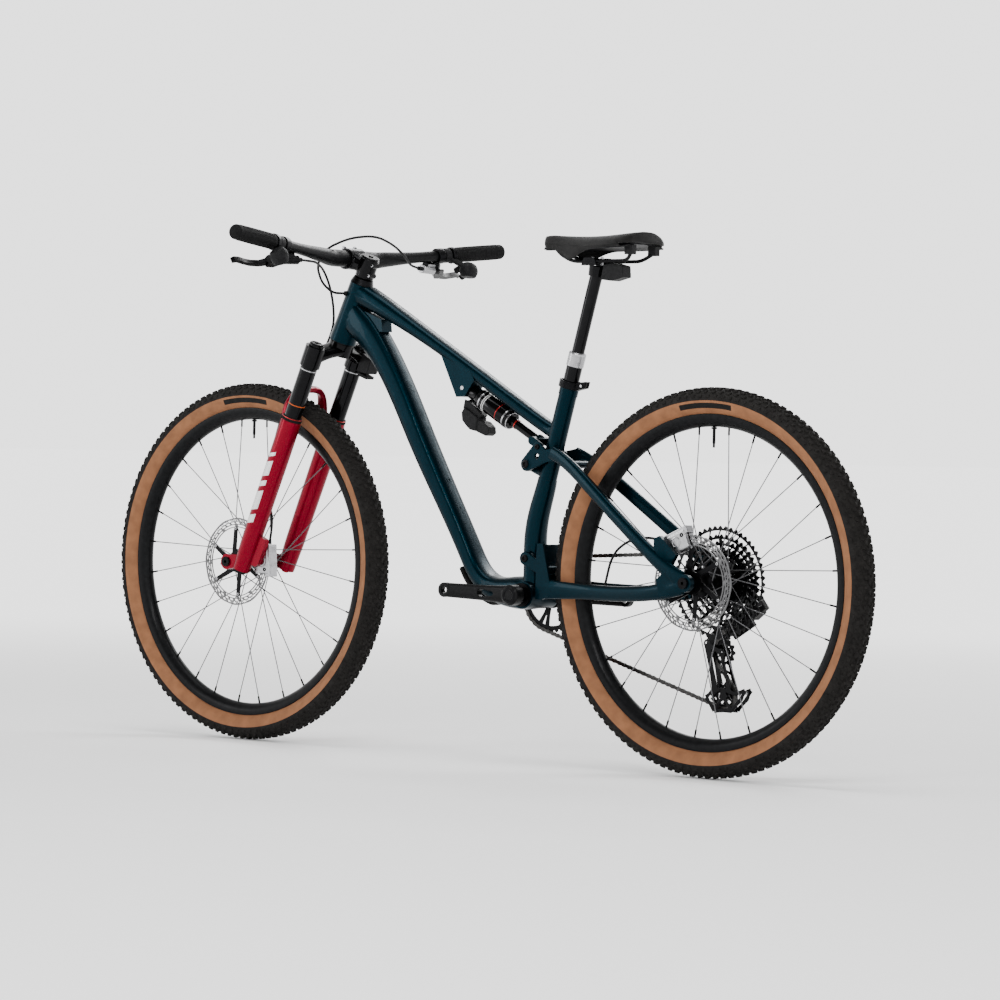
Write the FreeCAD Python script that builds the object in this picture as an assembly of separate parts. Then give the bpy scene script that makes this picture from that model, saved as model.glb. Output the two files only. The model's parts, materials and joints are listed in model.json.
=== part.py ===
import FreeCAD, Part
import math
import os

# Full-suspension mountain bike, without pedals, built as separate rigid pieces.
# +X is the riding direction, +Y the rider's left, +Z up.
# The origin lies on the ground, midway between the two axles.  Millimetres.

V = FreeCAD.Vector

# ---- driving dimensions -------------------------------------------------------
WHEELBASE = 1193.0
TYRE_R = 368.0                 # 29 x 2.25 tyre
TYRE_HALF_W = 29.0
RIM_R = 317.5                  # outer edge of the rim wall
RIM_HALF_W = 16.5
RIM_INNER_R = 293.0
SPOKES = 28
ROTOR_R = 90.0                 # 180 mm brake rotors
HEAD_ANGLE = 66.8              # from the ground
FORK_OFFSET = 44.0
FORK_TRAVEL = 110.0
LEG_Y = 66.0                   # fork leg centre lines
LEG_FWD = 6.0                  # legs stand this far ahead of the steering axis
LEG_R = 21.5
UPPER_TUBE_R = 17.5
CROWN_RACE_S = 512.0           # distances S run up the steering axis
HEAD_BOTTOM_S = 515.0
HEAD_TOP_S = 640.0
FRONT_HUB_HALF = 55.0          # 110 mm hub
REAR_HUB_HALF = 74.0           # 148 mm hub
BB_X, BB_Z = -168.5, 329.0
CRANK_LENGTH = 165.0
CRANK_TILT = 1.5               # degrees, left arm raised at the front
CHAINLINE = 52.0
RING_TEETH, COG_TEETH, PULLEY_TEETH = 36, 28, 12
CHAIN_PITCH = 12.7
COGS = (52, 44, 38, 32, 28, 24, 21, 18, 16, 14, 12, 10)
BIG_COG_Y, COG_STEP = -26.0, 3.6
SEAT_ANGLE = 74.3
SEAT_TOP = V(-246.7, 0, 743.4)  # centre of the seat tube's mouth
POST_R = 15.8                   # 31.6 mm dropper post
STANCHION_R = 12.5
POST_TRAVEL = 150.0
BAR_HALF = 400.0
STEM_LENGTH = 45.0
BAR_S = 675.0
PIVOT_LOWER = V(-170, 0, 400)      # lower link on the frame
PIVOT_TRIANGLE = V(-214, 0, 378)   # lower link on the rear triangle
PIVOT_ROCKER = V(-163, 0, 583)     # rocker on the frame
PIVOT_STAY = V(-212, 0, 598)       # seatstay on the rocker
PIVOT_YOKE = V(-190, 0, 617)       # shock yoke on the rocker
PIVOT_SHOCK = V(15.7, 0, 730)      # shock's front eye on the frame
SHOCK_STROKE = 38.4
FIT = 0.06                         # radial clearance of running fits
HOSE_R = 2.5

FRONT_AXLE = V(WHEELBASE / 2, 0, TYRE_R)
REAR_AXLE = V(-WHEELBASE / 2, 0, TYRE_R)
BB = V(BB_X, 0, BB_Z)
STEER_UP = V(-math.cos(math.radians(HEAD_ANGLE)), 0, math.sin(math.radians(HEAD_ANGLE)))
STEER_FWD = V(math.sin(math.radians(HEAD_ANGLE)), 0, math.cos(math.radians(HEAD_ANGLE)))
STEER_BASE = FRONT_AXLE - STEER_FWD * FORK_OFFSET
SEAT_UP = V(-math.cos(math.radians(SEAT_ANGLE)), 0, math.sin(math.radians(SEAT_ANGLE)))
SEAT_FWD = V(math.sin(math.radians(SEAT_ANGLE)), 0, math.cos(math.radians(SEAT_ANGLE)))


# ---- small builders -----------------------------------------------------------
def steer(s, n, y=0.0):
    """Point S up the steering axis, N ahead of it and Y to the left."""
    return STEER_BASE + STEER_UP * s + STEER_FWD * n + V(0, y, 0)


def seat(s, n=0.0, y=0.0):
    """Point S up the seat axis from the seat tube's mouth."""
    return SEAT_TOP + SEAT_UP * s + SEAT_FWD * n + V(0, y, 0)


def at(x, z, y=0.0):
    return V(x, y, z)


def side(point, y):
    return V(point.x, y, point.z)


def rod(a, b, r):
    return Part.makeCylinder(r, (b - a).Length, a, b - a)


def cone(a, b, ra, rb):
    return Part.makeCone(ra, rb, (b - a).Length, a, b - a)


def sleeve(a, b, outer, inner):
    return rod(a, b, outer).cut(rod(a - (b - a), b + (b - a), inner))


def box(x0, x1, y0, y1, z0, z1):
    return Part.makeBox(x1 - x0, y1 - y0, z1 - z0, V(x0, y0, z0))


def plate(points, y0, y1):
    """Polygon of (x, z) points, from y0 to y1."""
    corners = [V(x, y0, z) for x, z in points]
    return Part.Face(Part.makePolygon(corners + corners[:1])).extrude(V(0, y1 - y0, 0))


def steer_plate(points, y0, y1):
    """Polygon of (s, n) points in the steering frame, from y0 to y1."""
    corners = [steer(s, n, y0) for s, n in points]
    return Part.Face(Part.makePolygon(corners + corners[:1])).extrude(V(0, y1 - y0, 0))


def link(p, q, rp, rq, y0, y1):
    """Flat link round two pivots."""
    across = V(-(q - p).z, 0, (q - p).x).normalize()
    web = [p + across * rp, q + across * rq, q - across * rq, p - across * rp]
    body = plate([(c.x, c.z) for c in web], y0, y1)
    return body.fuse([rod(side(p, y0), side(p, y1), rp), rod(side(q, y0), side(q, y1), rq)])


def union(*shapes):
    first, rest = shapes[0], list(shapes[1:])
    return first.fuse(rest) if rest else first


def mirrored(shape):
    return shape.mirror(V(0, 0, 0), V(0, 1, 0))


def both(shape):
    return [shape, mirrored(shape)]


def ring_wire(centre, u, v, a, b, power=2.6, steps=16):
    """Closed rounded-rectangle wire with half sizes a along u and b along v."""
    points = []
    for k in range(steps):
        t = 2 * math.pi * k / steps
        c, s = math.cos(t), math.sin(t)
        ru = a * math.copysign(abs(c) ** (2 / power), c)
        rv = b * math.copysign(abs(s) ** (2 / power), s)
        points.append(centre + u * ru + v * rv)
    curve = Part.BSplineCurve()
    curve.interpolate(points, PeriodicFlag=True)
    return Part.Wire([curve.toShape()])


def loft(stations, power=2.6, wide=V(0, 1, 0)):
    """Tube through stations (centre, half width, half depth), cut square to the path.

    Half widths lie along WIDE as far as the path allows, half depths across both."""
    wires = []
    for i, (centre, half_w, half_d) in enumerate(stations):
        before = stations[max(i - 1, 0)][0]
        after = stations[min(i + 1, len(stations) - 1)][0]
        along = (after - before).normalize()
        across = wide - along * along.dot(wide)
        across.normalize()
        wires.append(ring_wire(centre, across, along.cross(across), half_w, half_d, power))
    return Part.makeLoft(wires, True, False)


def revolve_y(centre, profile):
    """Solid of (radius, y) points turned about the line along Y through centre."""
    corners = [V(r, y, 0) for r, y in profile]
    face = Part.Face(Part.makePolygon(corners + corners[:1]))
    solid = face.revolve(V(0, 0, 0), V(0, 1, 0), 360)
    solid.translate(centre)
    return solid


def hose(points, r):
    """Tube along straight runs joined by tangent arcs."""
    edges, start, radii = [], points[0], []
    for i in range(1, len(points) - 1):
        before, corner, after = points[i - 1], points[i], points[i + 1]
        d_in, d_out = (corner - before).normalize(), (after - corner).normalize()
        trim = 0.45 * min((corner - before).Length, (after - corner).Length)
        half_turn = math.acos(max(-1.0, min(1.0, d_in.dot(d_out)))) / 2
        radius = trim / math.tan(half_turn)
        radii.append(radius)
        first, last = corner - d_in * trim, corner + d_out * trim
        inward = (d_out - d_in).normalize()
        depth = radius / math.cos(half_turn) - radius
        edges.append(Part.LineSegment(start, first).toShape())
        edges.append(Part.Arc(first, corner + inward * depth, last).toShape())
        start = last
    edges.append(Part.LineSegment(start, points[-1]).toShape())
    path = Part.Wire(edges)
    circle = Part.Wire([Part.Circle(points[0], points[1] - points[0], r).toShape()])
    tube = path.makePipeShell([circle], True, False)
    error = tube.Volume / (path.Length * math.pi * r * r) - 1
    print("hose %.0f mm, tightest radius %.1f mm, volume error %.4f" % (path.Length, min(radii), error))
    return tube


def export(name, *shapes):
    solids = [s for shape in shapes for s in shape.Solids]
    whole = solids[0] if len(solids) == 1 else Part.makeCompound(solids)
    whole.exportStep("parts/%s.step" % name)


# ---- frame --------------------------------------------------------------------
def front_frame_core():
    """The frame's tubes as one closed body, before its bores are cut."""
    head = union(cone(steer(HEAD_BOTTOM_S, 0), steer(560, 0), 28, 26),
                 cone(steer(560, 0), steer(HEAD_TOP_S, 0), 26, 24))
    top = loft([(at(316, 925), 22, 24), (at(240, 890.7), 22, 20), (at(100, 819), 20, 14),
                (at(-60, 729.4), 18, 13.5), (at(-180, 661.5), 16, 13.7), (at(-222, 640), 15, 14)])
    down = loft([(at(326, 880), 22.5, 30), (at(290, 850), 26, 32), (at(252, 812), 26, 28),
                 (at(130, 621), 26, 23), (at(0, 408), 26, 18.5), (at(-30, 364), 27.5, 19),
                 (at(-80, 336), 31, 25), (at(-168, 329.5), 34, 28)], 3.2)
    shell = rod(V(BB_X, -41, BB_Z), V(BB_X, 41, BB_Z), 27)
    upper_seat = rod(seat(-212), seat(0), 18)
    lower_seat = loft([(seat(-196), 17.5, 17.5), (at(-186, 527), 18, 19), (at(-170, 470), 20, 20),
                       (at(-167, 400), 24, 20), (at(-168, 335), 30, 22)])
    web = plate([(236, 866), (233, 841), (330, 846), (330, 900)], -15, 15)
    collar_seat = rod(seat(-26), seat(0), 19)
    fin = plate([(72, 795), (30, 712), (8, 714), (-16, 745), (-6, 762)], -19, 19)
    rocker_lug = union(rod(side(PIVOT_ROCKER, -23.5), side(PIVOT_ROCKER, 23.5), 14),
                       plate([(-200, 600), (-195, 556), (-163, 569), (-163, 597)], -15, 15))
    link_lug = rod(side(PIVOT_LOWER, -30.5), side(PIVOT_LOWER, 30.5), 15)
    bosses = [rod(boss_mouth(along), boss_mouth(along) + FACE_IN * 8, 5.5) for along in BOSS_ALONG]
    return union(head, top, down, shell, upper_seat, lower_seat, web, collar_seat, fin,
                 rocker_lug, link_lug, *bosses)


def front_frame(core):
    cuts = [rod(steer(500, 0), steer(524, 0), 26.0),
            rod(steer(520, 0), steer(636, 0), 20.5),
            rod(steer(632, 0), steer(650, 0), 22.0),
            rod(steer(HEAD_TOP_S, 0), steer(670, 0), 30),
            rod(V(BB_X, -60, BB_Z), V(BB_X, 60, BB_Z), 20.5),
            rod(seat(-218), seat(20), POST_R + 0.02),
            rod(side(PIVOT_ROCKER, -40), side(PIVOT_ROCKER, 40), 6 + FIT),
            rod(side(PIVOT_LOWER, -40), side(PIVOT_LOWER, 40), 7 + FIT),
            rod(side(PIVOT_SHOCK, -40), side(PIVOT_SHOCK, 40), 4 + FIT),
            link(PIVOT_SHOCK, at(-30, 690), 14, 20, -12.6, 12.6),
            rod(shock(14.5), shock(60), 17), rod(shock(25), shock(60), 23)]
    for along in BOSS_ALONG:
        mouth = boss_mouth(along)
        cuts.append(rod(mouth - FACE_IN, mouth + FACE_IN * BOSS_DEPTH, BOSS_R))
    return core.cut(cuts)


DOWN_TOP = at(227, 833)         # upper face of the down tube runs between these two
DOWN_LOW = at(-28.5, 387)
FACE_ALONG = (DOWN_TOP - DOWN_LOW).normalize()
FACE_IN = V(FACE_ALONG.z, 0, -FACE_ALONG.x)
BOSS_R = 2.1                    # tapping bore of an M5 bottle boss
BOSS_DEPTH = 12.0
BOSS_ALONG = (120, 184)


def boss_mouth(along):
    """Mouth of a bottle boss, measured up the down tube's upper face from its lower end."""
    return DOWN_LOW + FACE_ALONG * along - FACE_IN * 3


def frame_bearings():
    lower = sleeve(steer(HEAD_BOTTOM_S - 1, 0), steer(523.9, 0), 25.95, 19.5 + FIT)
    upper = sleeve(steer(632.1, 0), steer(641, 0), 21.95, 14.3 + FIT)
    cover = cone(steer(641, 0), steer(652, 0), 24, 20).cut(rod(steer(640, 0), steer(653, 0), 14.3 + FIT))
    cups = []
    for sign in (-1, 1):
        cups.append(sleeve(V(BB_X, sign * 30, BB_Z), V(BB_X, sign * 41, BB_Z), 20.45, 14.5 + FIT))
        cups.append(sleeve(V(BB_X, sign * 41.1, BB_Z), V(BB_X, sign * 44.5, BB_Z), 23, 14.5 + FIT))
    return [lower, upper, cover] + cups


def seat_collar():
    band = sleeve(seat(-12), seat(2.5), 22.5, 19.05)
    ears = plate([(-262, 726), (-286, 731), (-290, 744), (-266, 742)], -7, 7)
    slot = plate([(-255, 715), (-300, 715), (-300, 760), (-255, 760)], -1, 1)
    bolt = rod(at(-279, 735.5, -10), at(-279, 735.5, 10), 2.6)
    ring = union(band, ears.cut(rod(seat(-40), seat(30), 19.05))).cut(slot)
    return [ring.cut(bolt), bolt]


def dropper_outer_tube():
    outer = rod(seat(-215), seat(32), POST_R)
    return outer.cut([rod(seat(-212), seat(25), 13.6), rod(seat(20), seat(40), STANCHION_R + FIT),
                      rod(seat(-216), seat(-200), 8)])


def dropper_lockring():
    ring = union(rod(seat(32.05), seat(57), 17.2), cone(seat(57), seat(60), 17.2, 15.5))
    grooves = [sleeve(seat(s), seat(s + 1.5), 20, 16.6) for s in (36, 40, 44, 52)]
    return ring.cut([rod(seat(30), seat(62), STANCHION_R + FIT)] + grooves)


def port_bezels(core):
    """Bezels of the hose ports at both sides of the head tube."""
    pieces = []
    for sign in (-1, 1):
        port = steer(612, 14, sign * 23)
        out = V(0.45, sign * 0.89, 0)
        pieces.append(rod(port - out * 4, port + out * 2.5, 5).cut(core))
    return pieces


def chin_guard(core):
    """Rubber guard under the foot of the down tube."""
    guard = loft([(at(12, 376), 18, 6), (at(-14, 342), 20, 7), (at(-72, 309), 22, 6)])
    return guard.cut(core)


# ---- rear suspension ------------------------------------------------------------
def lower_link():
    plates = []
    for sign in (-1, 1):
        y0, y1 = sorted((sign * 31.0, sign * 37.0))
        plates.append(link(PIVOT_LOWER, PIVOT_TRIANGLE, 13, 11, y0, y1))
    pin = rod(side(PIVOT_LOWER, -37.5), side(PIVOT_LOWER, 37.5), 7)
    stub = rod(side(PIVOT_TRIANGLE, -37.5), side(PIVOT_TRIANGLE, 37.5), 6)
    return [union(*plates, pin, stub)]


def rocker_link():
    plates = []
    for sign in (-1, 1):
        y0, y1 = sorted((sign * 24.0, sign * 30.0))
        bell = union(link(PIVOT_ROCKER, PIVOT_STAY, 14, 11, y0, y1),
                     link(PIVOT_ROCKER, PIVOT_YOKE, 14, 10, y0, y1),
                     link(PIVOT_STAY, PIVOT_YOKE, 9, 9, y0, y1))
        inner = PIVOT_ROCKER * 0.34 + PIVOT_STAY * 0.36 + PIVOT_YOKE * 0.30
        plates.append(bell.cut(rod(side(inner, y0 - 1), side(inner, y1 + 1), 5)))
        plates.append(rod(side(PIVOT_ROCKER, sign * 29), side(PIVOT_ROCKER, sign * 32), 9))
    return [union(*plates, rod(side(PIVOT_ROCKER, -31), side(PIVOT_ROCKER, 31), 6))]


SHOCK_DIR = (PIVOT_YOKE - PIVOT_SHOCK).normalize()


def shock(d, off=0.0, y=0.0):
    """Point D along the shock from its front eye; OFF lies above the shock."""
    above = V(-SHOCK_DIR.z, 0, SHOCK_DIR.x)
    if above.z < 0:
        above = above * -1
    return PIVOT_SHOCK + SHOCK_DIR * d + above * off + V(0, y, 0)


def shock_can():
    can = union(rod(shock(17), shock(34), 15), cone(shock(34), shock(42), 15, 19.5),
                rod(shock(42), shock(128), 19.5), cone(shock(128), shock(134), 19.5, 16),
                rod(shock(0, 0, -12), shock(0, 0, 12), 11), rod(shock(6), shock(20), 9.5))
    can = can.cut([rod(shock(44), shock(140), 9 + FIT), rod(shock(104), shock(140), 10.6),
                   rod(shock(0, 0, -14), shock(0, 0, 14), 4 + FIT)])
    pin = rod(side(PIVOT_SHOCK, -18.9), side(PIVOT_SHOCK, 18.9), 4)
    bands = [sleeve(shock(d), shock(d + 3), 20.2, 19.6) for d in (50, 120)]
    return [can, pin] + bands


def shock_servo():
    """Electronic damper module and its battery, hung under the front of the shock."""
    module = plate([(12, 692), (19, 682), (17, 666), (6, 655), (-3, 648), (-19, 645), (-22, 672)],
                   -15, 15)
    battery = plate([(-19.4, 644), (-42, 636), (-50, 641), (-49, 653), (-36, 664), (-22.4, 667)],
                    -12, 12)
    neck = plate([(14, 716), (20, 690), (-20, 668), (-30, 676)], -9, 9)
    can_space = union(rod(shock(0, 0, -20), shock(0, 0, 20), 11.4), rod(shock(0), shock(140), 20.6))
    return [union(module, neck).cut(can_space), battery]


def shock_shaft():
    shaft = rod(shock(84), shock(207), 9)
    seal = sleeve(shock(146), shock(148), 10.2, 9.02)
    return [shaft, seal]


def shock_yoke():
    arms = []
    for sign in (-1, 1):
        y0, y1 = sorted((sign * 18.6, sign * 23.4))
        arms.append(link(PIVOT_YOKE, shock(210), 8, 8, y0, y1))
    bar = union(rod(shock(207.05), shock(213), 13), *arms)
    beam = [shock(207.05, -8), shock(216, -8), shock(216, 8), shock(207.05, 8)]
    return union(bar, plate([(p.x, p.z) for p in beam], -23.4, 23.4))


def rear_triangle():
    pieces = []
    stay_root_y = 42.5
    chain = loft([(at(-212, 343, stay_root_y), 3.8, 21), (at(-262, 342, stay_root_y), 4.6, 17),
                  (at(-340, 341, 46), 8, 15), (at(-450, 342, 62), 9, 14.5),
                  (at(-545, 352, 76), 7.5, 15.5), (at(-590, 362, 80), 5.5, 16)])
    seatstay = loft([(at(-232, 606, 36), 5.5, 13), (at(-290, 577, 43), 8, 12.5),
                     (at(-373, 518, 56), 8.5, 12.5), (at(-474, 445, 69), 8.5, 13),
                     (at(-548, 395, 77.5), 7, 15), (at(-588, 374, 80), 5.5, 17)])
    eye = link(PIVOT_STAY, at(-240, 603), 11.5, 12, 31.2, 38)
    yoke_side = plate([(-222, 430), (-208, 430), (-206, 398), (-206, 324), (-222, 322), (-240, 330),
                       (-240, 358)], 38.6, 46)
    drop = union(rod(V(REAR_AXLE.x, REAR_HUB_HALF, REAR_AXLE.z), V(REAR_AXLE.x, 85, REAR_AXLE.z), 17),
                 plate([(-600, 382), (-560, 398), (-530, 372), (-540, 340), (-600, 352)],
                       REAR_HUB_HALF, 84))
    mount = plate([(-562, 400), (-538, 408), (-521, 432), (-521, 449), (-534, 455), (-546, 446),
                   (-574, 420)], 71, 81)
    for shape in (chain, seatstay, eye, yoke_side, drop):
        pieces += both(shape)
    pieces.append(mount)
    bridge = rod(at(-276, 584, -40), at(-276, 584, 40), 7)
    upper_wall = box(-222, -209, -46, 46, 400, 428)
    lower_wall = box(-222, -206, -46, 46, 322, 361)
    boss = union(rod(side(PIVOT_TRIANGLE, -30), side(PIVOT_TRIANGLE, 30), 12),
                 box(-222, -206, -30, 30, 340, 402))
    body = union(*pieces, bridge, upper_wall, lower_wall, boss)
    cuts = [rod(V(REAR_AXLE.x, -100, REAR_AXLE.z), V(REAR_AXLE.x, 100, REAR_AXLE.z), 6.02),
            rod(side(REAR_AXLE, 85), side(REAR_AXLE, 95), 12),
            rod(side(PIVOT_TRIANGLE, -31), side(PIVOT_TRIANGLE, 31), 6 + FIT)]
    return body.cut(cuts)


def rear_axle():
    shaft = rod(side(REAR_AXLE, -100.5), side(REAR_AXLE, 85), 6)
    head = union(rod(side(REAR_AXLE, 85.05), side(REAR_AXLE, 89), 10.5))
    socket = rod(side(REAR_AXLE, 84), side(REAR_AXLE, 90), 3.2)
    return union(shaft, head).cut(socket)


# ---- wheels ---------------------------------------------------------------------
def tyre(axle):
    outer = [(312, 13.2), (318.3, 13.2), (319.5, 17.6), (327, 23.6), (336, 27.3), (346, TYRE_HALF_W),
             (355, 28.6), (361, 26), (365.5, 19), (TYRE_R, 9)]
    inner = [(365, 7), (362, 16.5), (358, 23.3), (353, 25.7), (346, 26.2), (337, 24.6),
             (328, 20.6), (321, 14.5), (318.3, 10.4), (312, 10.4)]
    profile = outer + [(r, -y) for r, y in reversed(outer)]
    profile += [(r, -y) for r, y in reversed(inner)] + inner
    return revolve_y(axle, profile)


def rim(axle):
    """Hollow rim with its tyre bed and side walls, and the valve at the top."""
    half = [(RIM_R, RIM_HALF_W), (306, RIM_HALF_W), (297, 10), (RIM_INNER_R, 5)]
    bed = [(RIM_R, 13.3), (311.8, 13.3), (311.8, 6), (309, 4.5)]
    profile = half + [(r, -y) for r, y in reversed(half)] + [(r, -y) for r, y in bed]
    profile += list(reversed(bed))
    hollow = [(309.5, 11.6), (307, 3.4), (307, -3.4), (309.5, -11.6), (305.5, -14), (298.5, -8.6),
              (295.2, -4), (295.2, 4), (298.5, 8.6), (305.5, 14)]
    ring = revolve_y(axle, profile).cut(revolve_y(axle, hollow))
    up = V(0, 0, 1)
    hole = rod(axle + up * 285, axle + up * 320, 3.1)
    valve = union(rod(axle + up * 262, axle + up * 312, 3), rod(axle + up * 254, axle + up * 262, 2.2),
                  rod(axle + up * 289, axle + up * 292.6, 5.5))
    return [ring.cut(hole), valve]


def spokes(axle, left_y, right_y, flange_r):
    """Crossed spokes with their nipples at the rim."""
    pieces = []
    for i in range(SPOKES):
        turn = 2 * math.pi * (i + 0.5) / SPOKES
        on_left = i % 2 == 0
        lean = math.radians(72 if (i // 2) % 2 == 0 else -72)
        root_y = (left_y if on_left else right_y) + (0.9 if (i // 2) % 2 == 0 else -0.9)
        root = axle + V(flange_r * math.sin(turn + lean), root_y, flange_r * math.cos(turn + lean))
        rim_y = 2.5 if on_left else -2.5
        out = V(math.sin(turn), 0, math.cos(turn))
        tip = axle + out * 291.5 + V(0, rim_y, 0)
        nipple_end = axle + out * 296 + V(0, rim_y, 0)
        along = (tip - root).normalize()
        pieces.append(rod(root, tip, 1.0))
        pieces.append(rod(tip - along * 12, nipple_end, 1.9))
    return pieces


def front_hub():
    profile = [(7.56, -54.7), (10.4, -54.7), (10.4, -46), (14, -40), (14.5, -36.5), (27.5, -35.5),
               (27.5, -32), (17, -27), (13.5, -5), (13.5, 5), (17, 22), (27.5, 26.5), (27.5, 30),
               (18, 33), (18, 41.9), (10.4, 41.9), (10.4, 54.7), (7.56, 54.7)]
    return revolve_y(FRONT_AXLE, profile)


def rear_hub():
    profile = [(6 + FIT, -73.7), (9, -73.7), (9, -23.2), (20, -23.2), (27.5, -22), (27.5, -18.5),
               (17, -14), (14.5, 0), (17, 26), (27.5, 30.5), (27.5, 34), (18, 37), (18, 54.4),
               (10.4, 54.4), (10.4, 73.7), (6 + FIT, 73.7)]
    return revolve_y(REAR_AXLE, profile)


def rotor(axle, y):
    """Braking ring on a six-armed carrier."""
    ring = sleeve(side(axle, y), side(axle, y + 1.8), ROTOR_R, ROTOR_R - 20)
    holes = []
    for k in range(36):
        a = 2 * math.pi * k / 36
        r = ROTOR_R - (4.5 if k % 2 else 10)
        p = V(axle.x + r * math.cos(a), y, axle.z + r * math.sin(a))
        holes.append(rod(p - V(0, 1, 0), p + V(0, 3, 0), 2.2))
    arms = []
    for k in range(6):
        a, b = math.radians(60 * k), math.radians(60 * k + 26)
        p = V(axle.x + 17 * math.cos(a), 0, axle.z + 17 * math.sin(a))
        q = V(axle.x + (ROTOR_R - 22) * math.cos(b), 0, axle.z + (ROTOR_R - 22) * math.sin(b))
        arms.append(link(p, q, 5, 4.2, y - 0.6, y + 2.4))
    hub_ring = rod(side(axle, y - 0.6), side(axle, y + 4), 22)
    carrier = union(hub_ring, *arms).cut(rod(side(axle, y - 5), side(axle, y + 9), 10.5))
    return [ring.cut(holes + [carrier]), carrier]


# ---- transmission -----------------------------------------------------------------
def pitch_radius(teeth):
    return CHAIN_PITCH / (2 * math.sin(math.pi / teeth))


def cog_y(teeth):
    return BIG_COG_Y - COG_STEP * COGS.index(teeth)


def cassette():
    body = sleeve(side(REAR_AXLE, -70.5), side(REAR_AXLE, -23.6), 16.4, 9 + FIT)
    discs = []
    for teeth in COGS:
        y = cog_y(teeth)
        tip = pitch_radius(teeth) + 3.0
        disc = rod(side(REAR_AXLE, y - 0.8), side(REAR_AXLE, y + 0.8), tip)
        if teeth >= 24:
            windows = []
            for k in range(8):
                a = 2 * math.pi * (k + 0.12 * COGS.index(teeth)) / 8
                r = (tip - 9 + 24) / 2
                p = V(REAR_AXLE.x + r * math.cos(a), y, REAR_AXLE.z + r * math.sin(a))
                windows.append(rod(p - V(0, 2, 0), p + V(0, 2, 0), min((tip - 9 - 24) / 2, r * 0.33)))
            disc = disc.cut(windows)
        discs.append(disc.cut(rod(side(REAR_AXLE, y - 2), side(REAR_AXLE, y + 2), 12)))
    return [union(body, *discs)]


RING_Y = -CHAINLINE


def chainring():
    tip = pitch_radius(RING_TEETH) + 2.6
    disc = rod(side(BB, RING_Y - 1), side(BB, RING_Y + 1), tip)
    windows = []
    for k in range(8):
        a = 2 * math.pi * (k + 0.5) / 8
        p = BB + V(46 * math.cos(a), RING_Y, 46 * math.sin(a))
        windows.append(rod(p - V(0, 3, 0), p + V(0, 3, 0), 13))
    hub = rod(side(BB, RING_Y - 3.9), side(BB, RING_Y + 1.2), 27)
    return union(disc.cut(windows), hub).cut(rod(side(BB, -80), side(BB, -20), 18.02))


def arm_end(sign):
    """Centre of a pedal hole: +1 is the left arm, which points forward."""
    a = math.radians(CRANK_TILT)
    return BB + V(sign * CRANK_LENGTH * math.cos(a), 0, sign * CRANK_LENGTH * math.sin(a))


PEDAL_R = 7.14                   # 9/16 inch pedal thread
ARM_IN, ARM_OUT = 70.0, 84.0


def crank_arm(sign):
    end = arm_end(sign)
    root = union(rod(side(BB, sign * 58), side(BB, sign * 80), 20),
                 rod(side(BB, sign * 80), side(BB, sign * 82), 17))
    mid = (BB + end) * 0.5
    stations = [(side(BB, sign * 69), 10.5, 19), (side(mid * 0.55 + BB * 0.45, sign * 71), 8.5, 16),
                (side(mid * 0.45 + end * 0.55, sign * 75), 7.2, 14.5), (side(end, sign * 77), 7, 14)]
    arm = loft(stations, 3.0)
    tip = rod(side(end, sign * ARM_IN), side(end, sign * ARM_OUT), 14.5)
    body = union(root, arm, tip)
    bore = rod(side(end, sign * (ARM_IN - 20)), side(end, sign * (ARM_OUT + 20)), PEDAL_R)
    run = (end - BB).normalize()
    y0, y1 = sorted((sign * 55, sign * 95))
    window = link(BB + run * 46, BB + run * 74, 4, 7.5, y0, y1)
    return body.cut([bore, window, rod(side(BB, sign * 50), side(BB, sign * 79), 13.5)])


def crank_spindle():
    spindle = rod(side(BB, -79), side(BB, 79), 13.48)
    journal = rod(side(BB, -57.9), side(BB, 57.9), 14.5)
    boss = rod(side(BB, -57.95), side(BB, RING_Y + 1.2), 18)
    return union(spindle, journal, boss).cut(rod(side(BB, -90), side(BB, 90), 10.5))


BAND_Y, BAND_W, BAND_H = 2.3, 0.8, 8.0    # each side of the chain
PULLEY_UP = at(-600, 236)
PULLEY_LOW = at(-606, 154)
PULLEY_R = pitch_radius(PULLEY_TEETH)
COG_Y = cog_y(COG_TEETH)
PULLEY_Y = COG_Y - 0.6


def tangent(p, rp, q, rq, hand_p, hand_q):
    """Ends of the straight run between two circles; hand +1 keeps the circle on its left."""
    gap = q - p
    length = math.hypot(gap.x, gap.z)
    base = math.atan2(gap.z, gap.x)
    swing = math.asin((hand_p * rp - hand_q * rq) / length)
    normal = base + swing
    n = V(math.sin(normal), 0, -math.cos(normal))
    return p + n * (hand_p * rp), q + n * (hand_q * rq)


def strip(a, b, width, height):
    """Thin bar from a to b: width along Y, height across the run in the XZ plane."""
    along = (b - a)
    across = V(-along.z, 0, along.x).normalize() * (height / 2)
    half = V(0, width / 2, 0)
    corners = [a + across + half, a + across - half, a - across - half, a - across + half]
    return Part.Face(Part.makePolygon(corners + corners[:1])).extrude(along)


def arc_strip(centre, r, start, end, y, width, height, hand):
    """Part of a flat ring that follows a sprocket from one tangent point to the next."""
    a0 = math.atan2((start - centre).z, (start - centre).x)
    a1 = math.atan2((end - centre).z, (end - centre).x)
    turn = (a1 - a0) % (2 * math.pi) if hand > 0 else -((a0 - a1) % (2 * math.pi))
    ends = []
    for radius in (r - height / 2, r + height / 2):
        ends.append([V(centre.x + radius * math.cos(a0 + turn * k / 2), y - width / 2,
                       centre.z + radius * math.sin(a0 + turn * k / 2)) for k in (0, 1, 2)])
    inner, outer = ends
    edges = [Part.Arc(*inner).toShape(), Part.LineSegment(inner[2], outer[2]).toShape(),
             Part.Arc(*reversed(outer)).toShape(), Part.LineSegment(outer[0], inner[0]).toShape()]
    return Part.Face(Part.Wire(edges)).extrude(V(0, width, 0))


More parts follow.
